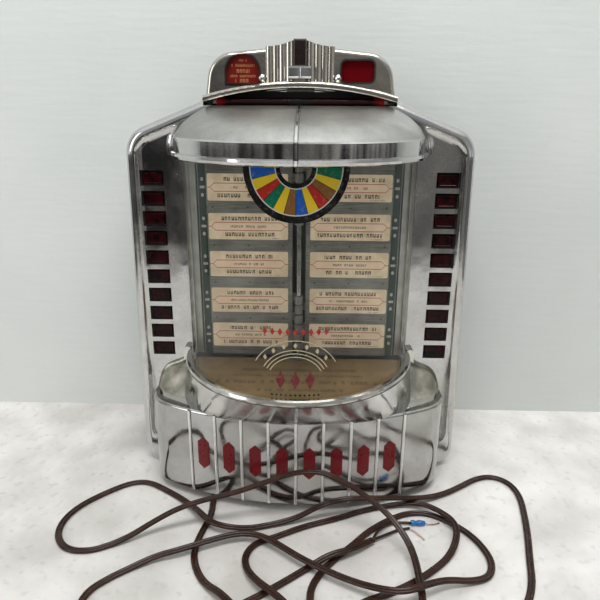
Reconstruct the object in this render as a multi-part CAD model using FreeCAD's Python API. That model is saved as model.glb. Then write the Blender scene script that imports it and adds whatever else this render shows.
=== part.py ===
import FreeCAD
import Part
import math
import os

# Jukebox wall box selector: a chrome wall-hung box with ten keys down each wing, a half-round
# window over a book of title leaves, a domed hood, a bow-fronted console and a coin crown.
# Millimetres. X runs to the right, Y to the back, Z up. The pieces are drawn about the flat
# face of the wings (Y = 0) with the table at Z = 0, and save() moves them back by FACE_Y so
# that the origin is the middle of the footprint.

V = FreeCAD.Vector

# ---------------------------------------------------------------- driving dimensions
INCH = 25.4

# The upright face: two circles a side, joined by their outer tangent, give its outline.
FOOT_CENTRE = (144.0, 22.0)
FOOT_R = 22.0
SHOULDER_CENTRE = (134.0, 327.0)
SHOULDER_R = 27.0
SHOULDER_FALL = 21.8          # degrees that the shoulders fall away from the crown
BORDER_RISE = 3.0             # raised border round the face
BORDER_COVE = [(8.5, 3.5), (9.7, 1.9), (11.9, 0.7), (15.5, 0.0)]     # inset and rise of its inner side
BORDER_ROUND = 8.0
RECESS_LIFT = 20.0            # the sunk face stops this much above the border's own foot
FACE_T = 3.0
SPLIT_Y = 22.0                # where the front frame meets the rear casing
CASE_BACK = 88.0
CASE_WALL = 2.5
BACK_PLATE_T = 3.0

# Keys
KEY_ROWS = 10
KEY_PITCH = 0.75 * INCH
KEY_X = 137.85
KEY_TOP_Z = 306.0
KEY_WINDOW = (22.3, 14.3)
KEY_CAP = (19.2, 11.6)
KEY_TRAVEL = 3.5
STEM_END = 35.8

# Window, rim and hood: half rings about the vertical axis at X = 0, Y = 0
LENS_R = 107.0
LENS_T = 2.5
RIM_R = 113.0
RIM_Z = 129.0
RIM_H = 6.0
HOOD_BEAD_Z = 327.0
HOOD_BAND_Z = 332.5
HOOD_BROW_Z = 343.5
HOOD_BACK_Z = 370.5
HOOD_WALL = 3.0

# Console
CONSOLE_FRONT = 81.0
CONSOLE_BOW_R = 270.0
CONSOLE_HALF = 145.0
CONSOLE_CORNER_R = 34.0
CONSOLE_BASE_Z = 4.5
CONSOLE_LIP_Z = 97.5
CONSOLE_WALL = 3.0
LIP_ROUND = 3.0
RIB_PITCH = INCH
RIB_COUNT = 9
RIB_R = 1.6

# Title book
SPINDLE_Y = 1.0
SPINDLE_R = 2.5
LEAF_IN = 6.5
LEAF_OUT = 96.0
LEAF_BOTTOM = 128.0
LEAF_TOP = 322.0
LEAF_SPACING = 4.0
KNUCKLE_ENDS = (134.0, 313.0)  # feet of the lowest and the highest hinge rings
KNUCKLE_PITCH = 10.0
STRIP = (3.0 * INCH, INCH)
STRIP_IN = 10.7
STRIP_PITCH = 37.1
STRIP_ROWS = 5
STRIP_TOP_Z = 297.8           # middle of the highest strip
STRIP_T = 0.35

# Crown
CROWN_HALF = 86.0
CROWN_FACE_Y = 4.0
CROWN_DEPTH = 56.0
CROWN_TOP_Z = 419.0
NOTCH_Z = 370.5               # floor of the notch in the shoulders that takes the crown
BROW_END_Z = 373.0
BROW_MID_Z = 385.0
BROW_T = 6.0
TOWER_TOP_Z = 425.0
CARD_X = 51.0

# Cord
CORD_D = 3.2
CORD_EXIT = (-79.0, -9.0, 2.9)       # where the cord leaves its gland at the foot of the frame

BEAD_HALF = (HOOD_BAND_Z - HOOD_BEAD_Z) / 2.0
FACE_Y = (RIM_R + BEAD_HALF - CASE_BACK) / 2.0


# ---------------------------------------------------------------- helpers
def save(name, shape):
    """Write one piece, moved from the face plane to the part's own origin."""
    placed = shape.copy()
    placed.translate(V(0, FACE_Y, 0))
    placed.exportStep("parts/" + name + ".step")
    print(name, len(placed.Solids), "solid(s)", round(placed.Volume), "mm3")


def block(x0, x1, y0, y1, z0, z1):
    """A box from its limits, in any order."""
    low = V(min(x0, x1), min(y0, y1), min(z0, z1))
    return Part.makeBox(abs(x1 - x0), abs(y1 - y0), abs(z1 - z0), low)


def both_sides(shape):
    """A piece and its mirror image across X = 0."""
    return [shape, shape.mirror(V(0, 0, 0), V(1, 0, 0))]


def fuse(shapes):
    """Join touching solids into one clean solid."""
    return shapes[0].fuse(shapes[1:]).removeSplitter()


def front_point(x, z):
    """A point of the X-Z drawing plane."""
    return V(x, 0, z)


def on_circle(centre, radius, angle):
    """A point of a circle in the X-Z plane, angle in radians from +X."""
    return front_point(centre[0] + radius * math.cos(angle), centre[1] + radius * math.sin(angle))


def arc_xz(centre, radius, start, end):
    """An arc edge in the X-Z plane between two angles in radians."""
    middle = on_circle(centre, radius, (start + end) / 2.0)
    return Part.Arc(on_circle(centre, radius, start), middle, on_circle(centre, radius, end)).toShape()


def arc_through(a, b, c):
    """An arc edge through three points."""
    return Part.Arc(a, b, c).toShape()


def line(a, b):
    """A straight edge."""
    return Part.LineSegment(a, b).toShape()


def closed(edges):
    """A closed wire from edges in any order."""
    return Part.Wire(Part.sortEdges(edges)[0])


def mirrored(edges):
    """Edges drawn on the right, with their mirror images on the left."""
    return edges + [edge.mirror(V(0, 0, 0), V(1, 0, 0)) for edge in edges]


def slab(wire, y0, y1):
    """An X-Z outline pushed through from y0 to y1."""
    start = wire.copy()
    start.translate(V(0, y0, 0))
    return Part.Face(start).extrude(V(0, y1 - y0, 0))


def plan(wire, z0, z1):
    """An X-Y outline pushed up from z0 to z1."""
    start = wire.copy()
    start.translate(V(0, 0, z0))
    return Part.Face(start).extrude(V(0, 0, z1 - z0))


def rounded_rect(x, z, width, height, radius):
    """A rounded rectangle in the X-Z plane about its middle."""
    hw = width / 2.0 - radius
    hh = height / 2.0 - radius
    corners = [(x + hw, z + hh, 0), (x - hw, z + hh, 1), (x - hw, z - hh, 2), (x + hw, z - hh, 3)]
    edges = []
    for cx, cz, quarter in corners:
        start = quarter * math.pi / 2.0
        edges.append(arc_xz((cx, cz), radius, start, start + math.pi / 2.0))
    for i in range(4):
        edges.append(line(edges[i].Vertexes[-1].Point, edges[(i + 1) % 4].Vertexes[0].Point))
    return closed(edges)


def front_edges(shape, y):
    """Edges of a solid that lie wholly in the plane Y = y."""
    return [e for e in shape.Edges if abs(e.BoundBox.YMin - y) < 1e-4 and abs(e.BoundBox.YMax - y) < 1e-4]


def nose_points(radius, low, high):
    """Rounded nose of a bead as (radius, z) points: five corners of a half circle on a flat root."""
    half = (high - low) / 2.0
    turns = [math.radians(angle) for angle in (-90, -45, 0, 45, 90)]
    return [(radius + half * math.cos(t), low + half + half * math.sin(t)) for t in turns]


def half_ring(profile):
    """Turn a closed profile of (radius, z) points half way round, over the front of the box."""
    points = [V(r, 0, z) for r, z in profile]
    wire = Part.makePolygon(points + [points[0]])
    return Part.Face(wire).revolve(V(0, 0, 0), V(0, 0, 1), -180)


# ---------------------------------------------------------------- face outline
def side_tangent():
    """Direction, in radians, in which the side of the outline faces."""
    dx = SHOULDER_CENTRE[0] - FOOT_CENTRE[0]
    dz = SHOULDER_CENTRE[1] - FOOT_CENTRE[1]
    return math.atan2(dz, dx) - math.acos((FOOT_R - SHOULDER_R) / math.hypot(dx, dz))


def face_outline(inset=0.0, lift=0.0):
    """Outline of the upright face: rounded feet, tapered sides and falling shoulders.

    inset draws it smaller all round, and lift raises its foot along the sides."""
    share = lift / (SHOULDER_CENTRE[1] - FOOT_CENTRE[1])
    foot = [a + share * (b - a) for a, b in zip(FOOT_CENTRE, SHOULDER_CENTRE)]
    foot_r = FOOT_R + share * (SHOULDER_R - FOOT_R) - inset
    shoulder_r = SHOULDER_R - inset
    side = side_tangent()
    fall = math.radians(90.0 - SHOULDER_FALL)
    shoulder_end = on_circle(SHOULDER_CENTRE, shoulder_r, fall)
    crest_x = CROWN_HALF - 6.0
    crest_z = shoulder_end.z + (shoulder_end.x - crest_x) * math.tan(math.radians(SHOULDER_FALL))
    crest = front_point(crest_x, crest_z)
    foot_end = on_circle(foot, foot_r, -math.pi / 2.0)
    edges = [
        arc_xz(foot, foot_r, -math.pi / 2.0, side),
        line(on_circle(foot, foot_r, side), on_circle(SHOULDER_CENTRE, shoulder_r, side)),
        arc_xz(SHOULDER_CENTRE, shoulder_r, side, fall),
        line(shoulder_end, crest),
    ]
    across = [
        line(front_point(-foot_end.x, foot_end.z), foot_end),
        line(crest, front_point(-crest.x, crest.z)),
    ]
    return closed(mirrored(edges) + across)


def key_heights():
    """Heights of the rows of keys, from the top down."""
    return [KEY_TOP_Z - row * KEY_PITCH for row in range(KEY_ROWS)]


def crown_notch(clearance, depth):
    """The space cut out of the shoulders under the crown."""
    half = CROWN_HALF + 0.5 + clearance
    return block(-half, half, -10, depth + clearance, NOTCH_Z - clearance, 400)


# ---------------------------------------------------------------- casing
def sunk_face():
    """Room in front of the sunk face, bounded by the cove that rises to the border."""
    wires = []
    for inset, rise in BORDER_COVE:
        wire = face_outline(inset, RECESS_LIFT)
        wire.translate(V(0, -rise, 0))
        wires.append(wire)
    return Part.makeLoft(wires, True, False)


def front_frame():
    """Chrome die casting: raised rounded border, sunk face, key windows and the window opening."""
    body = slab(face_outline(), -BORDER_RISE, SPLIT_Y)
    body = body.makeFillet(BORDER_ROUND, front_edges(body, -BORDER_RISE))
    hollow = slab(face_outline(FACE_T), FACE_T, SPLIT_Y + 1)
    openings = [sunk_face(), hollow, crown_notch(0.0, SPLIT_Y)]
    openings.append(block(-LENS_R - 1.3, LENS_R + 1.3, -5, FACE_T + 1, RIM_Z - 9, 345))
    openings.append(block(-70, 70, -5, FACE_T + 1, 25, 85))
    openings.append(block(CORD_EXIT[0] - 4, CORD_EXIT[0] + 4, -10, 8, -1, 6))
    for z in key_heights():
        half_w = KEY_WINDOW[0] / 2.0
        half_h = KEY_WINDOW[1] / 2.0
        openings += both_sides(block(KEY_X - half_w, KEY_X + half_w, -1, FACE_T + 1, z - half_h, z + half_h))
    return body.cut(openings)


def rear_casing():
    """Wrapped side walls behind the front frame, notched at the top for the crown."""
    depth = CROWN_FACE_Y + CROWN_DEPTH + 0.3
    outer = slab(face_outline(), SPLIT_Y + 0.3, CASE_BACK - BACK_PLATE_T)
    outer = outer.cut(crown_notch(0.0, depth))
    inner = slab(face_outline(CASE_WALL), SPLIT_Y - 1, CASE_BACK)
    inner = inner.cut(crown_notch(CASE_WALL, depth))
    chute_hole = block(-13.5, 13.5, 24.5, 32.5, NOTCH_Z - 10, NOTCH_Z + 1)
    return outer.cut([inner, chute_hole])


WALL_HOLES = (4 * INCH, 60.0, 60.0 + 10 * INCH)      # half spacing, low and high row
WALL_HOLE_R = 3.5
BACK_SCREW_PLACES = [(150.0, 40.0), (150.0, 180.0), (142.0, 318.0)]


def back_screws():
    """Six sunk screw heads, flush with the plate that they hold to the casing."""
    heads = []
    for x, z in BACK_SCREW_PLACES:
        heads += both_sides(Part.makeCylinder(4.0, 2.2, V(x, CASE_BACK - 2.2, z), V(0, 1, 0)))
    return Part.makeCompound(heads)


def back_plate():
    """Steel plate that closes the casing, with four holes for wall bolts."""
    plate = slab(face_outline(), CASE_BACK - BACK_PLATE_T, CASE_BACK)
    holes = [back_screws()]
    for z in WALL_HOLES[1:]:
        hole = Part.makeCylinder(WALL_HOLE_R, 20, V(WALL_HOLES[0], CASE_BACK - 10, z), V(0, 1, 0))
        holes += both_sides(hole)
    return plate.cut(holes)


# ---------------------------------------------------------------- keys
def key(x, z):
    """One push key: bevelled cap, retaining flange and a round stem that reaches the contacts."""
    width, height = KEY_CAP
    cap = block(x - width / 2, x + width / 2, 1.0, 9.3, z - height / 2, z + height / 2)
    cap = cap.makeChamfer(0.7, front_edges(cap, 1.0))
    flange = block(x - width / 2 - 1.2, x + width / 2 + 1.2, 9.3, 10.8, z - 6.9, z + 6.9)
    stem = Part.makeCylinder(2.0, STEM_END - 10.8, V(x, 10.8, z), V(0, 1, 0))
    return fuse([cap, flange, stem])


def key_guides():
    """Black moulded bar behind each wing that guides ten keys."""
    middle = KEY_TOP_Z - (KEY_ROWS - 1) * KEY_PITCH / 2.0
    bar = slab(rounded_rect(KEY_X, middle, 29.0, KEY_ROWS * KEY_PITCH + 4.0, 3.0), FACE_T, 8.8)
    half_w = KEY_CAP[0] / 2.0 + 0.4
    half_h = KEY_CAP[1] / 2.0 + 0.4
    holes = []
    for z in key_heights():
        holes.append(block(KEY_X - half_w, KEY_X + half_w, FACE_T - 1, 10, z - half_h, z + half_h))
    return Part.makeCompound(both_sides(bar.cut(holes)))


CONTACT_Y = STEM_END + KEY_TRAVEL + 0.1       # a pressed stem ends just short of its blade
RAIL_Y = CONTACT_Y + 8.0


def contact_rails():
    """Insulating rail behind each row of stems, with a ledge for every contact blade."""
    low = KEY_TOP_Z - KEY_ROWS * KEY_PITCH + 5.0
    rail = block(KEY_X - 18, KEY_X - 8, RAIL_Y, RAIL_Y + 12, low, KEY_TOP_Z + 10)
    ledges = [block(KEY_X - 8, KEY_X - 5, RAIL_Y, RAIL_Y + 8, z - 5, z - 3) for z in key_heights()]
    return Part.makeCompound(both_sides(fuse([rail] + ledges)))


def contact_blades():
    """Bronze blade behind every stem, bent back to the rail that carries it."""
    blade_t = 0.4
    blades = []
    for z in key_heights():
        tip = block(KEY_X - 12, KEY_X + 3, CONTACT_Y, CONTACT_Y + blade_t, z - 2.5, z + 2.5)
        post = block(KEY_X - 12, KEY_X - 12 + blade_t, CONTACT_Y, RAIL_Y, z - 2.5, z + 2.5)
        blades += both_sides(fuse([tip, post]))
    return Part.makeCompound(blades)


# ---------------------------------------------------------------- window
def window_lens():
    """Clear half-round window."""
    low = RIM_Z + 2.0
    high = HOOD_BAND_Z + 3.5
    inner = LENS_R - LENS_T
    return half_ring([(inner, low), (LENS_R, low), (LENS_R, high), (inner, high)])


def rim_lug(grow=0.0):
    """Rounded lug on the wing at the right end of the window's rim."""
    x = LENS_R + 5.5
    radius = 4.0 + grow
    post = block(x - radius, x + radius, -7 - grow, 0, RIM_Z - 5 - grow, RIM_Z + 6)
    cap = Part.makeCylinder(radius, 7 + grow, V(x, -7 - grow, RIM_Z + 6), V(0, 1, 0))
    return fuse([post, cap])


def window_rim():
    """Half-round bead under the window, with a rounded lug at each end on the wings."""
    high = RIM_Z + RIM_H
    inner = LENS_R - LENS_T - 0.3
    groove = LENS_R + 0.3
    shoulder = RIM_R - RIM_H / 2.0
    seat = RIM_Z + 1.7
    nose = nose_points(shoulder, RIM_Z, high)
    ring = half_ring([(inner, RIM_Z)] + nose + [(groove, high), (groove, seat), (inner, seat)])
    return fuse([ring] + both_sides(rim_lug()))


def lens_channels():
    """Bent strip at each side of the window that its straight edge rests against."""
    inner = LENS_R - LENS_T - 0.3
    face = block(LEAF_OUT + 1.2, inner, 0.5, 2.0, RIM_Z + 1, 340)
    web = block(inner - 1.5, inner, -5, FACE_T + 1.8, RIM_Z + 2, 326)
    flange = block(inner - 1.5, LENS_R + 8, FACE_T + 0.3, FACE_T + 1.8, RIM_Z + 1, 340)
    return Part.makeCompound(both_sides(fuse([face, web, flange])))


# ---------------------------------------------------------------- hood
HOOD_LEDGE = 0.8              # the dome starts this far inside the band's upper edge
HOOD_SECTIONS = [(HOOD_BROW_Z, RIM_R - HOOD_LEDGE, RIM_R - HOOD_LEDGE), (352.0, 107.5, 98.0),
                 (360.5, 99.0, 70.0), (367.0, 88.5, 36.0), (HOOD_BACK_Z, 82.0, 10.0)]


def half_oval(z, half_width, reach, grow=0.0):
    """Half ellipse in plan, closed along the wing face, at height z."""
    major = half_width + grow
    ellipse = Part.Ellipse(V(0, 0, z), major + 1e-3, reach + grow)
    curve = Part.ArcOfEllipse(ellipse, math.pi, 2 * math.pi).toShape()
    return Part.Wire([curve, line(curve.Vertexes[-1].Point, curve.Vertexes[0].Point)])


def hood_dome(grow=0.0):
    """Solid dome of the hood, lofted through half ovals that shrink towards the top."""
    wires = [half_oval(z + grow * 0.5, a, b, grow) for z, a, b in HOOD_SECTIONS]
    return Part.makeLoft(wires, True, False)


def hood_bead():
    """Rounded bead along the hood's lower edge."""
    root = LENS_R + 0.3
    nose = nose_points(RIM_R, HOOD_BEAD_Z, HOOD_BAND_Z)
    return half_ring([(root, HOOD_BEAD_Z)] + nose + [(root, HOOD_BAND_Z)])


def hood_rib():
    """Narrow rib over the middle of the dome and down the band."""
    slice_box = block(-1.6, 1.6, -200, -2.0, HOOD_BAND_Z, 400)
    ring = half_ring([(RIM_R - 2.0, HOOD_BAND_Z), (RIM_R + 1.3, HOOD_BAND_Z),
                      (RIM_R + 1.3, HOOD_BROW_Z + 0.65), (RIM_R - 2.0, HOOD_BROW_Z + 0.65)])
    crest = hood_dome(1.3).cut(hood_dome(-1.5))
    return fuse([ring.common(slice_box), crest.common(slice_box)])


# Heights of the flare beside the hood, with how far it spreads over the wing at each.
HOOD_FLARE = [(HOOD_BEAD_Z, 8.5), (HOOD_BROW_Z, 8.5), (352.0, 8.0), (360.5, 5.0), (367.0, 2.0)]


def hood_flare():
    """Cove that spreads the right side of the hood on to the wing."""
    widths = {z: half_width for z, half_width, reach in HOOD_SECTIONS}
    sections = []
    for z, spread in HOOD_FLARE:
        side = widths.get(z, RIM_R)
        foot = V(side + spread, 0, z)
        middle = V(side + 0.293 * spread, -0.293 * spread, z)
        top = V(side - 0.6, -spread, z)
        root = V(side - 2.0, 0, z)
        sections.append(Part.Wire([arc_through(foot, middle, top), line(top, root), line(root, foot)]))
    return Part.makeLoft(sections, True, False)


def hood():
    """Cast hood over the window: domed top, polished band, bead and a rib down the middle."""
    band = half_ring([(0.0, HOOD_BAND_Z - 1), (RIM_R, HOOD_BAND_Z - 1), (RIM_R, HOOD_BROW_Z),
                      (0.0, HOOD_BROW_Z)])
    hollow_wires = [half_oval(z - HOOD_WALL, a - HOOD_WALL, max(b - HOOD_WALL, 3.0))
                    for z, a, b in HOOD_SECTIONS]
    hollow = Part.makeLoft(hollow_wires, True, False)
    throat_r = LENS_R + 0.3
    throat = half_ring([(0.0, HOOD_BEAD_Z - 1), (throat_r, HOOD_BEAD_Z - 1),
                        (throat_r, HOOD_BROW_Z - HOOD_WALL), (0.0, HOOD_BROW_Z - HOOD_WALL)])
    shell = fuse([hood_dome(), band]).cut([hollow, throat])
    body = fuse([shell, hood_bead(), hood_rib()] + both_sides(hood_flare()))
    room = sunk_face()
    room.translate(V(0, -0.3, 0))
    wing = slab(face_outline(BORDER_COVE[-1][0], RECESS_LIFT), -1, 2)
    border = slab(face_outline(-0.3), -BORDER_RISE - 0.3, 1).cut([room, wing])
    return body.cut(border)


def lamp_tube():
    """Straight lamp behind the hood's band that lights the title leaves."""
    glass = Part.makeCylinder(7.8, 140, V(-70, -20, 349), V(1, 0, 0))
    ends = [Part.makeCylinder(2.0, 6, V(x, -20, 349), V(1, 0, 0)) for x in (-76, 70)]
    return fuse([glass] + ends)


def lamp_holders():
    """Socket block at each end of the lamp, fixed to the frame's face."""
    holder = block(76.2, 82, -27, 0, 338, 357)
    return Part.makeCompound(both_sides(holder))


# ---------------------------------------------------------------- console
def bow_depth(x):
    """How far the bowed front stands out from the wing face at X = x."""
    return CONSOLE_FRONT - CONSOLE_BOW_R + math.sqrt(CONSOLE_BOW_R ** 2 - x * x)


def console_outline(inset=0.0):
    """Plan of the console: bowed front, rounded corners and straight returns to the wings."""
    half = CONSOLE_HALF - inset
    corner = CONSOLE_CORNER_R - inset
    big = CONSOLE_BOW_R - inset
    centre_y = CONSOLE_BOW_R - CONSOLE_FRONT
    corner_x = half - corner
    corner_y = centre_y - math.sqrt((big - corner) ** 2 - corner_x ** 2)
    turn = math.atan2(corner_y - centre_y, corner_x)
    touch = V(big * math.cos(turn), centre_y + big * math.sin(turn), 0)
    corner_mid = V(corner_x + corner * math.cos(turn / 2.0), corner_y + corner * math.sin(turn / 2.0), 0)
    side = V(half, corner_y, 0)
    edges = mirrored([arc_through(touch, corner_mid, side), line(side, V(half, 0, 0))])
    edges.append(arc_through(V(-touch.x, touch.y, 0), V(0, -CONSOLE_FRONT + inset, 0), touch))
    edges.append(line(V(-half, 0, 0), V(half, 0, 0)))
    return closed(edges)


FUNNEL_TOUCH = 80.0           # where the funnel's corner leaves the bowed front


def funnel_wires():
    """Round seat of the window above and the wider bowed plan below, in matching pieces."""
    split = math.radians(42.0)
    top_side = V(LENS_R + 5.0, 0, RIM_Z)
    radius = top_side.x
    upper = []
    low_z = CONSOLE_LIP_Z - 3.0
    corner_y = -bow_depth(FUNNEL_TOUCH) + 0.4
    for sign in (-1, 1):
        touch = V(sign * radius * math.sin(split), -radius * math.cos(split), RIM_Z)
        half_turn = (math.pi / 2.0 + split) / 2.0
        middle = V(sign * radius * math.sin(half_turn), -radius * math.cos(half_turn), RIM_Z)
        upper.append((V(sign * radius, 0, RIM_Z), middle, touch))
    lower = []
    for sign in (-1, 1):
        touch = V(sign * FUNNEL_TOUCH, corner_y, low_z)
        middle = V(sign * (FUNNEL_TOUCH + 25.0), corner_y + 21.0, low_z)
        lower.append((V(sign * (radius + 2.0), 0, low_z), middle, touch))
    wires = []
    for sides, front in ((upper, V(0, -radius, RIM_Z)), (lower, V(0, -CONSOLE_FRONT + 0.4, low_z))):
        left, right = sides
        edges = [arc_through(*left), arc_through(left[2], front, right[2]),
                 arc_through(right[2], right[1], right[0]), line(right[0], left[0])]
        wires.append(Part.Wire(edges))
    return wires


# The ear beside the window: X, height on the wing, and how far its slope runs out over the ledge.
EAR = [(98.0, 134.0, 56.0), (112.0, 130.0, 50.0), (120.0, 123.5, 45.0), (131.0, 119.0, 37.0),
       (139.5, 112.5, 28.0), (144.2, 99.0, 18.0)]


def ledge_ear():
    """Cast ear that sweeps in an S from the wing down to the dished ledge, high by the window's rim."""
    foot_z = CONSOLE_LIP_Z - 4.0
    sections = []
    for x, top, reach in EAR:
        slope = Part.BezierCurve()
        slope.setPoles([V(x, 0, top), V(x, -reach * 0.42, top), V(x, -reach * 0.5, foot_z), V(x, -reach, foot_z)])
        base = V(x, 0, foot_z)
        sections.append(Part.Wire([slope.toShape(), line(V(x, -reach, foot_z), base), line(base, V(x, 0, top))]))
    return Part.makeLoft(sections, True, False)


def console():
    """Bow-fronted cast console: dished ledges, ears, funnel under the window and nine bead ribs."""
    shell = plan(console_outline(), CONSOLE_BASE_Z, CONSOLE_LIP_Z)
    lower_edges = [e for e in shell.Edges if e.BoundBox.ZMax < CONSOLE_BASE_Z + 0.01
                   and e.BoundBox.YMin < -1.0]
    shell = shell.makeChamfer(5.0, lower_edges)
    upper_edges = [e for e in shell.Edges if e.BoundBox.ZMin > CONSOLE_LIP_Z - 0.01
                   and e.BoundBox.YMin < -1.0]
    shell = shell.makeFillet(LIP_ROUND, upper_edges)
    dish = plan(console_outline(6.0), CONSOLE_LIP_Z - 3.0, CONSOLE_LIP_Z + 1)
    shell = shell.cut(dish)
    funnel = Part.makeLoft(funnel_wires(), True, True)
    ears = both_sides(ledge_ear())
    body = fuse([shell, funnel] + ears)
    hollow = plan(console_outline(CONSOLE_WALL), CONSOLE_BASE_Z + CONSOLE_WALL, CONSOLE_LIP_Z - 8.0)
    seat = half_ring([(0.0, RIM_Z - 5.5), (LENS_R - LENS_T, RIM_Z - 5.5), (LENS_R - LENS_T, RIM_Z + 20),
                      (0.0, RIM_Z + 20)])
    over_rim = block(-200, 200, -200, 0, RIM_Z, RIM_Z + 40)
    over_border = block(-200, 200, -BORDER_RISE - 0.3, 1, 0, 35.6)
    x, y, z = CORD_EXIT
    gland_space = block(x - 4.0, x + 4.0, y - 8.0, 1, 0, z + 3.1)
    lug_spaces = both_sides(rim_lug(0.3))
    body = body.cut([hollow, seat, over_rim, over_border, gland_space] + lug_spaces)
    return fuse([body] + console_ribs())


def console_ribs():
    """Vertical beads down the console's bowed front."""
    ribs = []
    half = (RIB_COUNT - 1) / 2.0
    for i in range(RIB_COUNT):
        x = (i - half) * RIB_PITCH
        place = V(x, -bow_depth(x), CONSOLE_BASE_Z + 5.0)
        ribs.append(Part.makeCylinder(RIB_R, CONSOLE_LIP_Z - CONSOLE_BASE_Z - 5.4, place))
    return ribs


def bay_inlays():
    """Red enamel lozenge in each bay between two ribs, curved with the front."""
    shell = []
    for radius in (CONSOLE_BOW_R + 0.6, CONSOLE_BOW_R):
        shell.append(Part.makeCylinder(radius, 60, V(0, CONSOLE_BOW_R - CONSOLE_FRONT, 30)))
    skin = shell[0].cut(shell[1])
    middle_z = 54.0
    pieces = []
    for i in range(RIB_COUNT - 1):
        x = (i - (RIB_COUNT - 2) / 2.0) * RIB_PITCH
        tall = 17.0
        wide = 5.5
        corner = 5.0
        points = [(x, middle_z + tall), (x + wide, middle_z + tall - corner),
                  (x + wide, middle_z - tall + corner), (x, middle_z - tall),
                  (x - wide, middle_z - tall + corner), (x - wide, middle_z + tall - corner)]
        wire = Part.makePolygon([front_point(*p) for p in points + points[:1]])
        pieces.append(slab(wire, -100, -40).common(skin))
    return Part.makeCompound(pieces)


def cash_box():
    """Sheet-metal tray in the console that catches the coins."""
    outer = block(-62, 62, -62, -5, 12, 78)
    return outer.cut(block(-60.8, 60.8, -60.8, -6.2, 13.2, 80))


def program_shelf():
    """Half-round card tray at the foot of the window."""
    radius = LENS_R - LENS_T - 0.5
    return half_ring([(0.0, RIM_Z - 5.5), (radius, RIM_Z - 5.5), (radius, RIM_Z - 4.0), (0.0, RIM_Z - 4.0)])


# ---------------------------------------------------------------- title book
def strip_heights():
    """Heights of the title strips, from the top down."""
    return [STRIP_TOP_Z - row * STRIP_PITCH for row in range(STRIP_ROWS)]


def leaf_plate(plane):
    """Flat leaf with raised holder bars between its strips; plane is its middle in Y."""
    plate = block(LEAF_IN, LEAF_OUT, plane - 0.5, plane + 0.5, LEAF_BOTTOM, LEAF_TOP)
    bar_half = (STRIP_PITCH - STRIP[1]) / 2.0 - 0.3
    bars = []
    for z in strip_heights()[:-1]:
        middle = z - STRIP_PITCH / 2.0
        bars.append(block(STRIP_IN, STRIP_IN + STRIP[0], plane - 1.0, plane + 1.0,
                          middle - bar_half, middle + bar_half))
    return fuse([plate] + bars)


def knuckles(place, reach):
    """Two hinge rings round the spindle, each with a dog-leg arm to a leaf that lies reach behind it.

    place counts the leaf's rings inwards from the book's top and bottom, so that no two leaves share one."""
    pieces = []
    for z in (KNUCKLE_ENDS[0] + place * KNUCKLE_PITCH, KNUCKLE_ENDS[1] - place * KNUCKLE_PITCH):
        ring = Part.makeCylinder(4.2, 8, V(0, SPINDLE_Y, z))
        arm = block(1.0, 3.2, SPINDLE_Y + 1.5, SPINDLE_Y + reach + 0.5, z, z + 8)
        foot = block(1.0, LEAF_IN + 1, SPINDLE_Y + reach - 0.5, SPINDLE_Y + reach + 0.5, z, z + 8)
        bore = Part.makeCylinder(SPINDLE_R + 0.05, 10, V(0, SPINDLE_Y, z - 1))
        pieces.append(fuse([ring, arm, foot]).cut(bore))
    return pieces


def hung_leaf(step, place):
    """A right-hand leaf on its knuckles; step counts how deep it lies in its pile."""
    reach = LEAF_SPACING * (step + 0.5)
    return fuse([leaf_plate(SPINDLE_Y + reach)] + knuckles(place, reach))


def back_leaves():
    """Two more leaves in each pile, behind the ones that turn."""
    piles = []
    for step in (1, 2):
        piles += [hung_leaf(step, 2 * step), hung_leaf(step, 2 * step + 1).mirror(V(0, 0, 0), V(1, 0, 0))]
    return Part.makeCompound(piles)


def strips(plane, faces):
    """Printed title strips on the named faces (-1 front, +1 back) of a leaf."""
    cards = []
    for face in faces:
        near = plane + face * 0.5
        far = near + face * STRIP_T
        for z in strip_heights():
            cards.append(block(STRIP_IN, STRIP_IN + STRIP[0], near, far, z - STRIP[1] / 2, z + STRIP[1] / 2))
    return cards


def book_panel():
    """Bent steel panel behind the book, with an ear at top and bottom for the spindle."""
    sheet = block(-104, 104, 14, 15.5, 125.5, 330)
    ears = []
    for z in (125.5, 324.0):
        nose = Part.makeCylinder(9, 1.5, V(0, SPINDLE_Y, z))
        ears.append(fuse([block(-9, 9, SPINDLE_Y, 15, z, z + 1.5), nose]))
    body = fuse([sheet] + ears)
    return body.cut(Part.makeCylinder(SPINDLE_R + 0.1, 300, V(0, SPINDLE_Y, 100)))


def book_spindle():
    """Rod that the leaves turn on, with a collar above and below the ears."""
    rod = Part.makeCylinder(SPINDLE_R, 203.0, V(0, SPINDLE_Y, 125.2))
    collar = Part.makeCylinder(4.5, 1.5, V(0, SPINDLE_Y, 325.6))
    return fuse([rod, collar])


# ---------------------------------------------------------------- crown
def brow_arc(rise=0.0, half=CROWN_HALF):
    """Arc along the crown's underside, lifted by rise."""
    return arc_through(front_point(-half, BROW_END_Z + rise), front_point(0, BROW_MID_Z + rise),
                       front_point(half, BROW_END_Z + rise))


def crown_outline(inset=0.0, drop=0.0):
    """Elevation of the crown: arched underside, rounded shoulders and a nearly level top."""
    corner = (CROWN_HALF - 3.0 - 24.0, 391.5)
    radius = 24.0 - inset
    fall = math.radians(86.5)
    base = front_point(CROWN_HALF - inset, BROW_END_Z - drop)
    shoulder_start = on_circle(corner, radius, math.radians(8.0))
    shoulder_end = on_circle(corner, radius, fall)
    top = front_point(25.0, CROWN_TOP_Z - inset)
    edges = [line(base, shoulder_start), arc_xz(corner, radius, math.radians(8.0), fall),
             line(shoulder_end, top)]
    edges = mirrored(edges) + [line(top, front_point(-top.x, top.z))]
    if drop:
        edges.append(line(front_point(-base.x, base.z), base))
    else:
        edges.append(brow_arc())
    return closed(edges)


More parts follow.
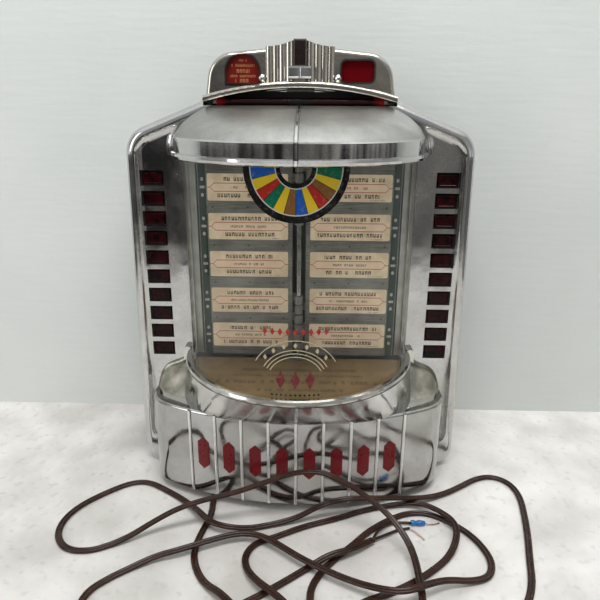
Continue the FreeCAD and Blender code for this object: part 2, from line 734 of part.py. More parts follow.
COLUMNS = [(27.0, 2.0), (21.2, 0.5), (15.4, -1.0), (9.3, -2.5)]     # X and front of each column
COLUMN_R = 3.6
TOWER_HALF = 5.6
TOWER_FACE_Y = -4.0
RETURN_Z = (393.0, 403.0)
RETURN_HALF = 9.8


def crown_columns():
    """Fluted columns whose tops sweep up to the plain coin tower in the middle."""
    shafts = []
    for x, front in COLUMNS:
        shafts.append(Part.makeCylinder(COLUMN_R, 60.0, V(x, front + COLUMN_R, 380.0)))
        shafts.append(block(x - COLUMN_R, x + COLUMN_R, front + COLUMN_R, 20.0, 380.0, 440.0))
    foot = front_point(COLUMNS[0][0] + COLUMN_R, 380.0)
    outer = front_point(foot.x, CROWN_TOP_Z + 0.7)
    inner = front_point(TOWER_HALF - 1.0, TOWER_TOP_Z - 0.3)
    sweep = arc_through(outer, front_point(COLUMNS[2][0], CROWN_TOP_Z + 2.1), inner)
    root = front_point(inner.x, foot.z)
    fan = slab(closed([line(foot, outer), sweep, line(inner, root), line(root, foot)]), -20, 20)
    tower = block(-TOWER_HALF, TOWER_HALF, TOWER_FACE_Y, 24.0, 386.0, TOWER_TOP_Z)
    return both_sides(fuse(shafts).common(fan)) + [tower]


def arched_window(x, width, low, spring):
    """Window with a round head, in the X-Z plane."""
    half = width / 2.0
    edges = [line(front_point(x - half, low), front_point(x + half, low)),
             line(front_point(x + half, low), front_point(x + half, spring)),
             arc_xz((x, spring), half, 0, math.pi),
             line(front_point(x - half, spring), front_point(x - half, low))]
    return closed(edges)


def crown():
    """Cast crown: stepped columns, arched and square card windows and a brow over the light slot."""
    y0 = CROWN_FACE_Y
    y1 = CROWN_FACE_Y + CROWN_DEPTH
    body = slab(crown_outline(), y0, y1)
    body = body.makeFillet(4.0, [e for e in front_edges(body, y0) if e.BoundBox.ZMax > BROW_MID_Z + 1.0])
    brow_edges = [brow_arc(), brow_arc(BROW_T)]
    for side in (-1, 1):
        brow_edges.append(line(front_point(side * CROWN_HALF, BROW_END_Z),
                               front_point(side * CROWN_HALF, BROW_END_Z + BROW_T)))
    brow = slab(closed(brow_edges), -6.0, y0 + 2)
    brow = brow.makeFillet(2.5, [e for e in front_edges(brow, -6.0) if e.Length > 20])
    body = fuse([body, brow] + crown_columns())
    inner = slab(crown_outline(3.0, 12.0), y0 + 3.0, y1 - 3.0)
    core = block(-31, 31, y0 + 3.0, 24.0, 380.0, 430.0)
    corners = [front_point(CROWN_HALF, BROW_END_Z), front_point(CROWN_HALF, 360),
               front_point(-CROWN_HALF, 360), front_point(-CROWN_HALF, BROW_END_Z)]
    below = slab(closed([brow_arc()] + [line(a, b) for a, b in zip(corners, corners[1:])]), -20, 180)
    cuts = [inner.cut(core), below]
    cuts.append(slab(arched_window(-CARD_X, 29.0, 389.5, 399.0), -20, y0 + 4))
    cuts.append(slab(rounded_rect(CARD_X, 399.5, 28.5, 17.5, 4.0), -20, y0 + 4))
    gap = 0.35
    cuts.append(block(-RETURN_HALF - gap, RETURN_HALF + gap, -20, 17, RETURN_Z[0] - gap, RETURN_Z[1] + gap))
    cuts.append(block(-1.6, 1.6, 2.0, 22.0, 404.5, 440))
    return body.cut(cuts)


def crown_screws():
    """Domed screw at each end of the columns."""
    domes = []
    for y, low, high in ((0.0, 3.4, 2.6), (1.4, 2.6, 1.2)):
        start = V(33.8, CROWN_FACE_Y - y, 393.4)
        domes.append(Part.makeCone(low, high, 1.4 if y == 0.0 else 0.8, start, V(0, -1, 0)))
    return Part.makeCompound(both_sides(fuse(domes)))


def coin_return_button():
    """Push block under the coin tower, split by a groove, that returns a jammed coin."""
    low, high = RETURN_Z
    body = block(-RETURN_HALF, RETURN_HALF, -8.5, 11.0, low, high)
    body = body.makeChamfer(1.6, [e for e in front_edges(body, -8.5) if e.Length > 15])
    groove = Part.makeCylinder(1.1, 20, V(0, -8.9, low - 2))
    return body.cut(groove)


def card_arched():
    """Red price card behind the arched window, trimmed to the crown's inside."""
    card = slab(arched_window(-CARD_X, 31.0, 388.8, 399.0), CROWN_FACE_Y + 3.0, CROWN_FACE_Y + 4.0)
    return card.common(slab(crown_outline(3.3, 12.0), 0, 20))


def card_square():
    """Red pane behind the square window."""
    return slab(rounded_rect(CARD_X, 399.5, 32.0, 20.5, 3.0), CROWN_FACE_Y + 3.0, CROWN_FACE_Y + 4.0)


def coin_chute():
    """Flat chute that carries a coin from the tower down to the coin mechanism."""
    outer = block(-13, 13, 25.0, 32.0, 332, 392)
    return outer.cut(block(-12, 12, 26.2, 30.8, 330, 394))


def light_trough():
    """Bent black sheet behind the slot under the crown, which holds the red light rod."""
    floor = block(-81, 81, 3.3, 21.9, 364.0, 365.2)
    back = block(-80, 80, 20.7, 21.9, 364.0, 383.0)
    ends = both_sides(block(79.8, 81, 3.3, 21.9, 364.0, 371.5))
    return fuse([floor, back] + ends)


LIGHT_ROD = (12.5, 373.4, 4.2)       # Y, Z, radius
LIGHT_ROD_HALF = 76.0


def light_rod():
    """Red rod that glows along the slot."""
    y, z, radius = LIGHT_ROD
    return Part.makeCylinder(radius, 2 * LIGHT_ROD_HALF, V(-LIGHT_ROD_HALF, y, z), V(1, 0, 0))


def light_rod_caps():
    """Metal cup and foot at each end of the rod."""
    y, z, radius = LIGHT_ROD
    cup = Part.makeCylinder(radius + 0.9, 3.0, V(LIGHT_ROD_HALF, y, z), V(1, 0, 0))
    foot = block(LIGHT_ROD_HALF + 0.5, LIGHT_ROD_HALF + 2.5, y - 3, y + 3, 365.2, z)
    return Part.makeCompound(both_sides(fuse([cup, foot])))


def coin_mechanism():
    """Coin selector behind the title book: open tray, throat under the chute and three wheels."""
    tray = block(-55, 55, 24.5, 70, 205, 331.5)
    tray = tray.cut([block(-52, 52, 33, 71, 208, 328), block(-12, 12, 26.2, 30.8, 300, 332)])
    wheels = []
    for x, z in ((-22, 285), (20, 255), (-18, 232)):
        wheels.append(Part.makeCylinder(16, 8, V(x, 33, z), V(0, 1, 0)))
    return fuse([tray] + wheels)


# ---------------------------------------------------------------- cord
# The cord lies on the table in front of the box. Its route is a list of corners, one list for
# each stretch, and every corner is rounded by the largest arc that its two runs leave room for.
LAID = 1.7                    # height of the cord's middle where it lies on the table
OVER = 8.0                    # and where it passes over another run

UNDER_CONSOLE = [CORD_EXIT, (-80, -34, 1.8), (-82, -64, LAID), (-79, -90, LAID), (-85, -116, LAID),
                 (-87, -138, LAID), (-81, -158, LAID), (-70, -174, 2.2), (-56, -187, OVER)]
FRONT_HOOK = [(-39, -205, OVER), (-24, -217, OVER), (-6, -216, OVER), (0, -201, OVER), (-12, -188, OVER),
              (-28, -175, OVER)]
INNER_LOOP = [(-39, -157, 2.6), (-42, -141, LAID), (-35, -126, LAID), (-16, -117, LAID),
              (10, -102, LAID), (38, -92, LAID), (64, -79, LAID), (92, -70, LAID), (118, -70, 6.0),
              (136, -84, OVER), (148, -101, OVER), (145, -120, 6.0), (134, -138, LAID),
              (114, -156, LAID), (94, -170, LAID), (76, -179, LAID), (61, -185, LAID)]
FRONT_TURN = [(47, -194, LAID), (40, -207, LAID), (47, -221, LAID), (64, -226, LAID), (84, -223, LAID),
              (97, -210, 2.6), (102, -192, OVER)]
ARCH = [(103, -168, OVER), (103, -148, 8.5), (99, -133, 14), (86, -115, 24.5), (66, -104, 36),
        (44, -98, 48.5), (22, -95, 56.5), (-2, -94, 53.5), (-30, -95, 42), (-56, -98, 33),
        (-82, -101, 27.8), (-106, -108, 23), (-128, -115, 13), (-146, -124, 5), (-162, -132, LAID)]
LEFT_TURN = [(-178, -140, LAID), (-198, -139, LAID), (-213, -124, LAID), (-217, -103, LAID),
             (-210, -82, LAID), (-194, -63, LAID)]
ACROSS = [(-171, -43, LAID), (-152, -41, LAID), (-131, -54, LAID), (-110, -69, LAID), (-92, -91, OVER),
          (-78, -107, OVER), (-62, -113, OVER), (-43, -109, 3.0), (-20, -101, LAID), (4, -95, 5.5),
          (24, -91, 17), (48, -85, 20), (73, -80, 17), (98, -74, 13), (121, -65, 6.5),
          (144, -54, 2.2), (166, -40, LAID), (186, -25, LAID)]
RIGHT_TURN = [(204, -20, LAID), (219, -29, LAID), (224, -50, LAID), (219, -78, LAID), (212, -108, LAID),
              (203, -138, LAID), (195, -168, LAID), (178, -196, LAID), (152, -219, LAID),
              (118, -234, LAID), (84, -240, LAID), (52, -238, LAID), (28, -224, LAID), (16, -202, LAID)]
OUTER_LOOP = [(14, -178, LAID), (22, -160, LAID), (35, -143, LAID), (51, -127, LAID), (67, -108, LAID),
              (87, -92, LAID), (107, -81, LAID), (127, -81, LAID), (144, -92, LAID), (158, -106, LAID),
              (167, -124, LAID), (170, -143, LAID), (163, -159, LAID), (147, -165, 3.0),
              (126, -169, OVER), (108, -180, 14.3), (88, -189, 14.3), (68, -184, 12), (48, -173, OVER),
              (28, -163, 8.4), (6, -150, 8.8), (-14, -133, OVER), (-31, -122, OVER), (-50, -121, OVER),
              (-73, -130, OVER), (-96, -142, OVER), (-117, -147, 5.0), (-135, -157, LAID),
              (-150, -169, LAID)]
FAR_LEFT_TURN = [(-163, -183, LAID), (-164, -201, LAID), (-150, -215, LAID), (-126, -221, LAID),
                 (-96, -219, LAID), (-63, -208, LAID), (-33, -189, LAID)]
LAST_STRETCH = [(-9, -171, LAID), (14, -152, LAID), (31, -145, 8.4), (45, -140, 8.6), (58, -131, 6.0),
                (70, -121, 4.0)]
ROUTE = (UNDER_CONSOLE + FRONT_HOOK + INNER_LOOP + FRONT_TURN + ARCH + LEFT_TURN + ACROSS + RIGHT_TURN
         + OUTER_LOOP + FAR_LEFT_TURN + LAST_STRETCH)
LEAD_D = 1.8
UPPER_LEAD = [(69.4, -120.2, 4.0), (75, -109, 3.6), (84, -100, 2.8), (96, -95, 2.4), (108, -96, 2.4)]
LOWER_LEAD = [(70.6, -121.8, 4.0), (84, -112, 2.6), (95, -104.5, 1.6), (106, -102, 1.2)]
CRIMP = (108.0, 122.0, -96.0, 2.4)    # ends in X, then Y and Z of its axis


def rounded_corner(before, corner, after):
    """Start, middle, end and radius of the arc that rounds one corner of a route."""
    back = (before - corner).normalize()
    ahead = (after - corner).normalize()
    reach = 0.45 * min((before - corner).Length, (after - corner).Length)
    half_turn = (math.pi - back.getAngle(ahead)) / 2.0
    radius = reach / math.tan(half_turn)
    inward = (back + ahead).normalize()
    middle = corner + inward * (radius / math.cos(half_turn) - radius)
    return corner + back * reach, middle, corner + ahead * reach, radius


def route_wire(route):
    """Straight runs joined by tangent arcs, and the tightest radius among them."""
    corners = [V(*point) for point in route]
    edges = []
    radii = []
    here = corners[0]
    for before, corner, after in zip(corners, corners[1:], corners[2:]):
        start, middle, end, radius = rounded_corner(before, corner, after)
        edges += [line(here, start), arc_through(start, middle, end)]
        radii.append(radius)
        here = end
    edges.append(line(here, corners[-1]))
    return Part.Wire(edges), radii


def tube(route, diameter, sides):
    """Prism of the given number of sides swept along a route."""
    path, radii = route_wire(route)
    ahead = V(*route[1]) - V(*route[0])
    radius = diameter / 2.0
    turns = [2.0 * math.pi * i / sides for i in range(sides + 1)]
    section = Part.makePolygon([V(radius * math.cos(t), radius * math.sin(t), 0) for t in turns])
    section.Placement = FreeCAD.Placement(V(*route[0]), FreeCAD.Rotation(V(0, 0, 1), ahead))
    solid = path.makePipeShell([section], True, False)
    area = sides * radius * radius * math.sin(2.0 * math.pi / sides) / 2.0
    print("tube", round(path.Length), "mm, volume as a share of section times length",
          round(solid.Volume / area / path.Length, 4))
    print("radii", " ".join(str(round(r)) for r in radii))
    return solid


def cord_gland():
    """Moulded strain relief in the notch at the foot of the frame."""
    x, y, z = CORD_EXIT
    body = block(x - 3.6, x + 3.6, y + 4, 7.5, z - 2.7, z + 2.7)
    nose = Part.makeCylinder(2.6, 4, V(x, y, z), V(0, 1, 0))
    return fuse([body, nose])


def cord():
    """The cord from its gland to where its two conductors part."""
    return tube(ROUTE, CORD_D, 6)


def cord_leads():
    """The two conductors past the end of the cord, each ending in bare wire."""
    start, end, y, z = CRIMP
    bare = 1.0
    tip = [(end, y, z), (end + 6, y - 1, 1.4), (end + 13, y + 3, 0.8)]
    stub = [LOWER_LEAD[-1], (112, -107, 0.9), (117, -116, 0.8)]
    insulated = [tube(route, LEAD_D, 6) for route in (UPPER_LEAD, LOWER_LEAD)]
    return Part.makeCompound(insulated + [tube(route, bare, 6) for route in (tip, stub)])


def crimp_connector():
    """Insulated crimp barrel on the upper conductor, narrower towards the bare wire."""
    start, end, y, z = CRIMP
    barrel = Part.makeCylinder(2.3, 9.0, V(start, y, z), V(1, 0, 0))
    neck = Part.makeCone(2.3, 1.6, end - start - 9.0, V(start + 9.0, y, z), V(1, 0, 0))
    return fuse([barrel, neck])


# ---------------------------------------------------------------- build
def main():
    os.makedirs("parts", exist_ok=True)
    save("front_frame", front_frame())
    save("rear_casing", rear_casing())
    save("back_plate", back_plate())
    save("back_screws", back_screws())
    for row, z in enumerate(key_heights()):
        save("key_left_%02d" % (row + 1), key(-KEY_X, z))
        save("key_right_%02d" % (row + 1), key(KEY_X, z))
    save("key_guides", key_guides())
    save("contact_rails", contact_rails())
    save("contact_blades", contact_blades())
    save("window_lens", window_lens())
    save("window_rim", window_rim())
    save("lens_channels", lens_channels())
    save("hood", hood())
    save("lamp_tube", lamp_tube())
    save("lamp_holders", lamp_holders())
    save("console", console())
    save("bay_inlays", bay_inlays())
    save("cash_box", cash_box())
    save("program_shelf", program_shelf())
    save("leaf_right", hung_leaf(0, 0))
    save("leaf_left", hung_leaf(0, 1).mirror(V(0, 0, 0), V(1, 0, 0)))
    save("back_leaves", back_leaves())
    front_plane = SPINDLE_Y + LEAF_SPACING / 2.0
    cards = strips(front_plane, (-1, 1))
    save("strips_right", Part.makeCompound(cards))
    save("strips_left", Part.makeCompound([c.mirror(V(0, 0, 0), V(1, 0, 0)) for c in cards]))
    under = strips(front_plane + LEAF_SPACING, (-1,))
    save("strips_back", Part.makeCompound(mirrored(under)))
    save("book_panel", book_panel())
    save("book_spindle", book_spindle())
    save("crown", crown())
    save("crown_screws", crown_screws())
    save("coin_return_button", coin_return_button())
    save("card_arched", card_arched())
    save("card_square", card_square())
    save("coin_chute", coin_chute())
    save("light_trough", light_trough())
    save("light_rod", light_rod())
    save("light_rod_caps", light_rod_caps())
    save("coin_mechanism", coin_mechanism())
    save("cord_gland", cord_gland())
    save("cord", cord())
    save("cord_leads", cord_leads())
    save("crimp_connector", crimp_connector())


main()
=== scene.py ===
# %% [markdown]
# # A chrome wall box selector
# A wall box is the small remote end of a jukebox: coins go in at the crown, the book of title
# leaves turns behind the half-round window, and twenty keys choose a side. This lesson dresses
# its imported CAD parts. Every piece is in metres, where the CAD says it is, so nothing is fitted.

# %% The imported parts
import math
from functools import partialmethod, reduce
import bpy
from mathutils import Matrix, Vector


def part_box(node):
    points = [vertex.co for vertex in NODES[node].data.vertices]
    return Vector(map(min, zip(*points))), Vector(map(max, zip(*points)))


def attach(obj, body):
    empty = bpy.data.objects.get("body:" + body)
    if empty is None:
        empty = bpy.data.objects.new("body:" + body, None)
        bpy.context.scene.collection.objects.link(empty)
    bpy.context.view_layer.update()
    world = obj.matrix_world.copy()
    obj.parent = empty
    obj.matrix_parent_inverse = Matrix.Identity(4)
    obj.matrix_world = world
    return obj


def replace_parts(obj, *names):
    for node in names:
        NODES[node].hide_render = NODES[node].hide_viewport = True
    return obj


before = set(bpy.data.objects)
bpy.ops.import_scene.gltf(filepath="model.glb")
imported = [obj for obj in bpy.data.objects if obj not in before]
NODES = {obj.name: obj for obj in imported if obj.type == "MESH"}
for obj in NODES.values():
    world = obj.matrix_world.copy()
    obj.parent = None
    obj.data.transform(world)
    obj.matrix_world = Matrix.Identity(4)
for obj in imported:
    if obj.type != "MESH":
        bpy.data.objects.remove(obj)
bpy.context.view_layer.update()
MM = 0.001
FACE = 13.875                 # the flat face of the wings, in millimetres along Y

# %% [markdown]
# ## Camera
# The box is seen from a little above, as by someone who stands at the table. The camera is
# turned by three angles, and its matrix is built from the three directions that they give.

# %% Camera
CAMERA_AT = Vector((13.19, -524.325, 365.71)) * MM
PITCH, YAW, ROLL = math.radians(18.27), math.radians(1.27), math.radians(0.37)


def camera_matrix():
    """Rotation whose columns are the camera's right, up and backward directions."""
    ahead = Vector((-math.sin(YAW) * math.cos(PITCH), math.cos(YAW) * math.cos(PITCH), -math.sin(PITCH)))
    level = Vector((math.cos(YAW), math.sin(YAW), 0))
    upright = level.cross(ahead)
    right = level * math.cos(ROLL) + upright * math.sin(ROLL)
    up = upright * math.cos(ROLL) - level * math.sin(ROLL)
    return Matrix((right, up, -ahead)).transposed().to_4x4()


camera = bpy.data.objects.new("camera", bpy.data.cameras.new("camera"))
camera.data.lens = 34.25
camera.data.sensor_width = 36
camera.matrix_world = Matrix.Translation(CAMERA_AT) @ camera_matrix()
bpy.context.scene.collection.objects.link(camera)
bpy.context.scene.camera = camera
print("camera looks along", [round(v, 3) for v in -camera.matrix_world.col[2].xyz])

# %% [markdown]
# ## Small helpers
# Shader trees and geometry trees are built with the same helpers. `add` makes a node, fills its
# sockets and gives back one output as a `Sum`, which can be used in ordinary arithmetic: the
# printed patterns below are drawn with it. `mesh_of` makes mesh data from points and faces, and
# `finish_mesh` turns mesh data into a piece of the model.

# %% Helpers
class Sum:
    """An output of a node that can be added, multiplied and compared."""

    def __init__(self, socket):
        self.socket, self.tree = socket, socket.id_data

    def other(self, key):
        """Another output of the same node."""
        return Sum(self.socket.node.outputs[key])

    def do(self, operation, *others):
        values = {"n%d" % (i + 1): value for i, value in enumerate(others)}
        return add(self.tree, "Math", operation=operation, n0=self, **values)

    __add__ = partialmethod(do, "ADD")
    __sub__ = partialmethod(do, "SUBTRACT")
    __mul__ = partialmethod(do, "MULTIPLY")
    __lt__ = partialmethod(do, "LESS_THAN")
    __gt__ = partialmethod(do, "GREATER_THAN")
    __abs__ = partialmethod(do, "ABSOLUTE")
    low = partialmethod(do, "MINIMUM")
    high = partialmethod(do, "MAXIMUM")


def add(tree, kind, out=0, **given):
    """A new node, as one of its outputs. Its kind may leave out the ShaderNode in front.

    Small words are the node's settings. Capital words, and numbers written n0 and n1, are its
    sockets, which take a plain value or the output of another node.
    """
    made = tree.nodes.new(kind if "Node" in kind else "ShaderNode" + kind)
    for key, value in given.items():
        numbered = key[1:].isdigit()
        place = int(key[1:]) if numbered else key.replace("_", " ")
        if key[0].islower() and not numbered:
            setattr(made, key, value)
        elif isinstance(value, Sum):
            tree.links.new(value.socket, made.inputs[place])
        else:
            made.inputs[place].default_value = value
    return Sum(made.outputs[out])


def vector(tree, **parts):
    """Vector of n0, n1 and n2; what is left out is 0."""
    return add(tree, "CombineXYZ", **parts)


def split(whole, kind="XYZ"):
    """The three parts of a vector or of a colour."""
    first = add(whole.tree, "Separate" + kind, n0=whole)
    return first, first.other(1), first.other(2)


def mesh_of(name, verts, faces):
    mesh = bpy.data.meshes.new(name)
    mesh.from_pydata(verts, [], faces)
    mesh.update()
    return mesh


def show(thing):
    bpy.context.scene.collection.objects.link(thing)


def evaluated_mesh(holder):
    """Plain mesh of what a curve or a tree makes; the object that held it is taken away."""
    show(holder)
    bpy.context.view_layer.update()
    depsgraph = bpy.context.evaluated_depsgraph_get()
    mesh = bpy.data.meshes.new_from_object(holder.evaluated_get(depsgraph), depsgraph=depsgraph)
    bpy.data.objects.remove(holder)
    return mesh


def finish_mesh(mesh, body, material=None):
    """Piece of a mesh whose place is already in its points, riding on a body.

    A mesh that gets its material here is shaded smooth; one that has it already is left flat.
    """
    piece = bpy.data.objects.new(mesh.name, mesh)
    show(piece)
    if material:
        mesh.materials.append(material)
    mesh.polygons.foreach_set("use_smooth", [bool(material)] * len(mesh.polygons))
    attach(piece, body)
    return piece


print("helpers ready")

# %% [markdown]
# ## Finishes
# Each finish is one Principled shader. What is the same all over is set on the shader itself;
# what varies, such as haze, wear and fine scratches, comes from noise read in Object
# coordinates, so it stays put when a piece moves.

# %% A finish to start from
def finish(name, **sockets):
    """New material, its shader, and Object coordinates in millimetres."""
    material = bpy.data.materials.new(name)
    material.use_nodes = True
    tree = material.node_tree
    shader = tree.nodes["Principled BSDF"]
    for key, value in sockets.items():
        shader.inputs[key.replace("_", " ")].default_value = value
    here = add(tree, "TexCoord", out="Object")
    return material, shader, add(tree, "VectorMath", operation="SCALE", n0=here, Scale=1000.0)


def noise(place, scale, detail=3.0, stretch=None):
    """Noise with so many blots a millimetre, drawn out along an axis by stretch."""
    if stretch:
        place = add(place.tree, "VectorMath", operation="MULTIPLY", n0=place, n1=stretch)
    return add(place.tree, "TexNoise", Vector=place, Scale=scale, Detail=detail)


def ramp(value, low, high, out_low=0.0, out_high=1.0):
    """Value taken from one range to another, held at both ends."""
    return add(value.tree, "MapRange", n0=value, n1=low, n2=high, n3=out_low, n4=out_high)


def cloud(place, scale, detail, *span):
    """Noise with part of its range, and perhaps a new range, as ramp takes them."""
    return ramp(noise(place, scale, detail), *span)


def blend(factor, first, second):
    """Colour between two colours, each given as three numbers or as an output."""
    first, second = (c if isinstance(c, Sum) else (*c, 1) for c in (first, second))
    return add(factor.tree, "Mix", out=2, data_type="RGBA", n0=factor, n6=first, n7=second)


def shade(colour, share):
    return [c * share for c in colour]


def put(node, key, value):
    value.tree.links.new(value.socket, node.inputs[key])


def paint(shader, factor, first, second):
    put(shader, "Base Color", blend(factor, first, second))


def emboss(shader, height, strength, distance):
    """Bump from a height in 0 to 1."""
    put(shader, "Normal", add(height.tree, "Bump", Height=height, Strength=strength, Distance=distance))


def mottled(name, dark, pale, blots, dull=None, grain=None, **sockets):
    """Finish that varies between two colours.

    blots is the noise's scale and detail and the part of its range that counts. dull is the
    same with a range of roughness after it. grain is a noise's scale and detail, and the
    strength and depth of the bump that it makes.
    """
    material, shader, place = finish(name, **sockets)
    paint(shader, cloud(place, *blots), dark, pale)
    if dull:
        put(shader, "Roughness", cloud(place, *dull))
    if grain:
        emboss(shader, noise(place, *grain[:2]), *grain[2:])
    return material


print("finish helpers ready")

# %% [markdown]
# ## The cord
# A flat two-core cord leaves its gland under the console, wanders over the table in loose
# loops and ends in two leads, one in a blue crimp. It could be a bevelled curve, but a bevel is
# the same all round; a section swept along points read from the spline gives the groove down
# the middle. The spline is a NURBS curve whose control points are the corners of the route.

# %% The cord's route
LAID, OVER = 1.7, 8.0         # heights in millimetres, on the table and over another run


def route(corners):
    """Corners in millimetres about the wing face; one without a height is laid on the table."""
    return [Vector((x * MM, y * MM + FACE * MM, (z[0] if z else LAID) * MM)) for x, y, *z in corners]


CORD_ROUTE = route([
    (-79, -9, 2.9), (-80, -34, 1.8), (-82, -64), (-79, -90), (-85, -116), (-87, -138), (-81, -158),
    (-70, -174, 2.2), (-56, -187, OVER), (-39, -205, OVER), (-24, -217, OVER), (-6, -216, OVER),
    (0, -201, OVER), (-12, -188, OVER), (-28, -175, OVER), (-39, -157, 2.6), (-42, -141), (-35, -126),
    (-16, -117), (10, -102), (38, -92), (64, -79), (92, -70), (118, -70, 6), (136, -84, OVER),
    (148, -101, OVER), (145, -120, 6), (134, -138), (114, -156), (94, -170), (76, -179), (61, -185),
    (47, -194), (40, -207), (47, -221), (64, -226), (84, -223), (97, -210, 2.6), (102, -192, OVER),
    (103, -168, OVER), (103, -148, 8.5), (99, -133, 14), (86, -115, 24.5), (66, -104, 36), (44, -98, 48.5),
    (22, -95, 56.5), (-2, -94, 53.5), (-30, -95, 42), (-56, -98, 33), (-82, -101, 27.8), (-106, -108, 23),
    (-128, -115, 13), (-146, -124, 5), (-162, -132), (-178, -140), (-198, -139), (-213, -124), (-217, -103),
    (-210, -82), (-194, -63), (-171, -43), (-152, -41), (-131, -54), (-110, -69), (-92, -91, OVER),
    (-78, -107, OVER), (-62, -113, OVER), (-43, -109, 3), (-20, -101), (4, -95, 5.5), (24, -91, 17),
    (48, -85, 20), (73, -80, 17), (98, -74, 13), (121, -65, 6.5), (144, -54, 2.2), (166, -40), (186, -25),
    (204, -20), (219, -29), (224, -50), (219, -78), (212, -108), (203, -138), (195, -168), (178, -196),
    (152, -219), (118, -234), (84, -240), (52, -238), (28, -224), (16, -202), (14, -178), (22, -160),
    (35, -143), (51, -127), (67, -108), (87, -92), (107, -81), (127, -81), (144, -92), (158, -106),
    (167, -124), (170, -143), (163, -159), (147, -165, 3), (126, -169, OVER), (108, -180, 14.3),
    (88, -189, 14.3), (68, -184, 12), (48, -173, OVER), (28, -163, 8.4), (6, -150, 8.8), (-14, -133, OVER),
    (-31, -122, OVER), (-50, -121, OVER), (-73, -130, OVER), (-96, -142, OVER), (-117, -147, 5), (-135, -157),
    (-150, -169), (-163, -183), (-164, -201), (-150, -215), (-126, -221), (-96, -219), (-63, -208),
    (-33, -189), (-9, -171), (14, -152), (31, -145, 8.4), (45, -140, 8.6), (58, -131, 6), (70, -121, 4),
])
UPPER_LEAD = route([(70, -121, 4), (74, -111, 3.6), (84, -100, 2.8), (96, -95, 2.4), (108, -96, 2.4)])
LOWER_LEAD = route([(70, -121, 4), (84, -112, 2.6), (95, -104.5, 1.6), (106, -102, 1.4)])
BARE_TIP = route([(121, -96, 2.4), (128, -97, 1.4), (135, -93, 0.9)])
BARE_STUB = route([(105, -102, 1.4), (112, -107, 0.9), (117, -116, 0.8)])


def smooth_line(points, steps):
    """Points read from the NURBS spline whose control points are the route's corners."""
    curve = bpy.data.curves.new("line", "CURVE")
    curve.dimensions = "3D"
    curve.resolution_u = steps
    spline = curve.splines.new("NURBS")
    spline.points.add(len(points) - 1)
    for knot, point in zip(spline.points, points):
        knot.co = (*point, 1)
    spline.order_u = 3
    spline.use_endpoint_u = True
    line = evaluated_mesh(bpy.data.objects.new("line", curve))
    return [v.co.copy() for v in line.vertices]


def length_of(points):
    return sum((b - a).length for a, b in zip(points, points[1:]))


CORD_LINE = smooth_line(CORD_ROUTE, 5)
print("cord:", len(CORD_ROUTE), "corners,", round(length_of(CORD_LINE), 3), "m along the spline")

# %% [markdown]
# ## Sweeping a section
# At each point of the line the section stands across the line, with its wide side level, since
# a flat cord lies on its flat. The section is two round cores joined by a thin web.

# %% The cord
CORD_HALF = 3.1               # half of the flat cord's width, in millimetres
CORE_R = 1.55                 # radius of each core
WEB = 0.5                     # half of the web's thickness
LEAD_R = 1.25                 # radius of each lead
BROWN = (0.047, 0.0175, 0.0095)


def twin_section(around=28):
    """Outline of two cores and their web, in millimetres."""
    middle = CORD_HALF - CORE_R
    outline = []
    for i in range(around):
        angle = 2 * math.pi * i / around
        across = CORD_HALF * math.cos(angle)
        beside = max(0.0, CORE_R ** 2 - (abs(across) - middle) ** 2) ** 0.5
        rise = beside if abs(across) > middle else max(beside, WEB)
        outline.append((across, math.copysign(rise, math.sin(angle))))
    return outline


def round_section(radius, around=10):
    turns = [2 * math.pi * i / around for i in range(around)]
    return [(radius * math.cos(t), radius * math.sin(t)) for t in turns]


def sides_at(line, i):
    """Directions across and above a line at one of its points, the first of them level."""
    ahead = (line[min(i + 1, len(line) - 1)] - line[max(i - 1, 0)]).normalized()
    across = Vector((0, 0, 1)).cross(ahead).normalized()
    return across, ahead.cross(across)


def sweep(line, section):
    """Rings of a section, in millimetres, carried along a line of points."""
    rings = []
    for i, point in enumerate(line):
        across, above = sides_at(line, i)
        rings.append([point + across * a * MM + above * b * MM for a, b in section])
    return rings


def skin(rings):
    """Points and faces of rings that are joined in turn and closed at both ends."""
    n = len(rings[0])
    verts = [point for ring in rings for point in ring]
    faces = [tuple(reversed(range(n))), tuple(range(len(verts) - n, len(verts)))]
    for start in range(0, len(verts) - n, n):
        for j in range(n):
            a, b = start + j, start + (j + 1) % n
            faces.append((a, b, b + n, a + n))
    return verts, faces


CORD_BROWN = mottled("cord_brown", shade(BROWN, 0.5), BROWN, (0.06, 3.0, 0.35, 0.7),
                     dull=(0.1, 3.0, 0.3, 0.7, 0.18, 0.32), grain=(1.2, 3.0, 0.12, 0.03 * MM),
                     Specular_IOR_Level=0.33)
cord = finish_mesh(mesh_of("cord_flat", *skin(sweep(CORD_LINE, twin_section()))), "casing",
                   CORD_BROWN)
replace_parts(cord, "cord")
lead_upper, lead_lower = (
    finish_mesh(mesh_of(name, *skin(sweep(smooth_line(corners, 8), round_section(LEAD_R)))), "casing",
                CORD_BROWN)
    for name, corners in (("lead_upper", UPPER_LEAD), ("lead_lower", LOWER_LEAD)))
print("cord faces:", len(cord.data.polygons))

# %% [markdown]
# ## Bare wire
# Each lead ends in a bundle of fine copper strands. One strand is a thin tube round a line;
# seven of them, each wound a little way round the middle, make a bundle that catches light
# like twisted wire does.

# %% Bare ends
STRANDS, TWISTS = 7, 2.5
STRAND_R, BUNDLE_R = 0.17, 0.45    # radii of a strand, and of the ring on which the strands lie


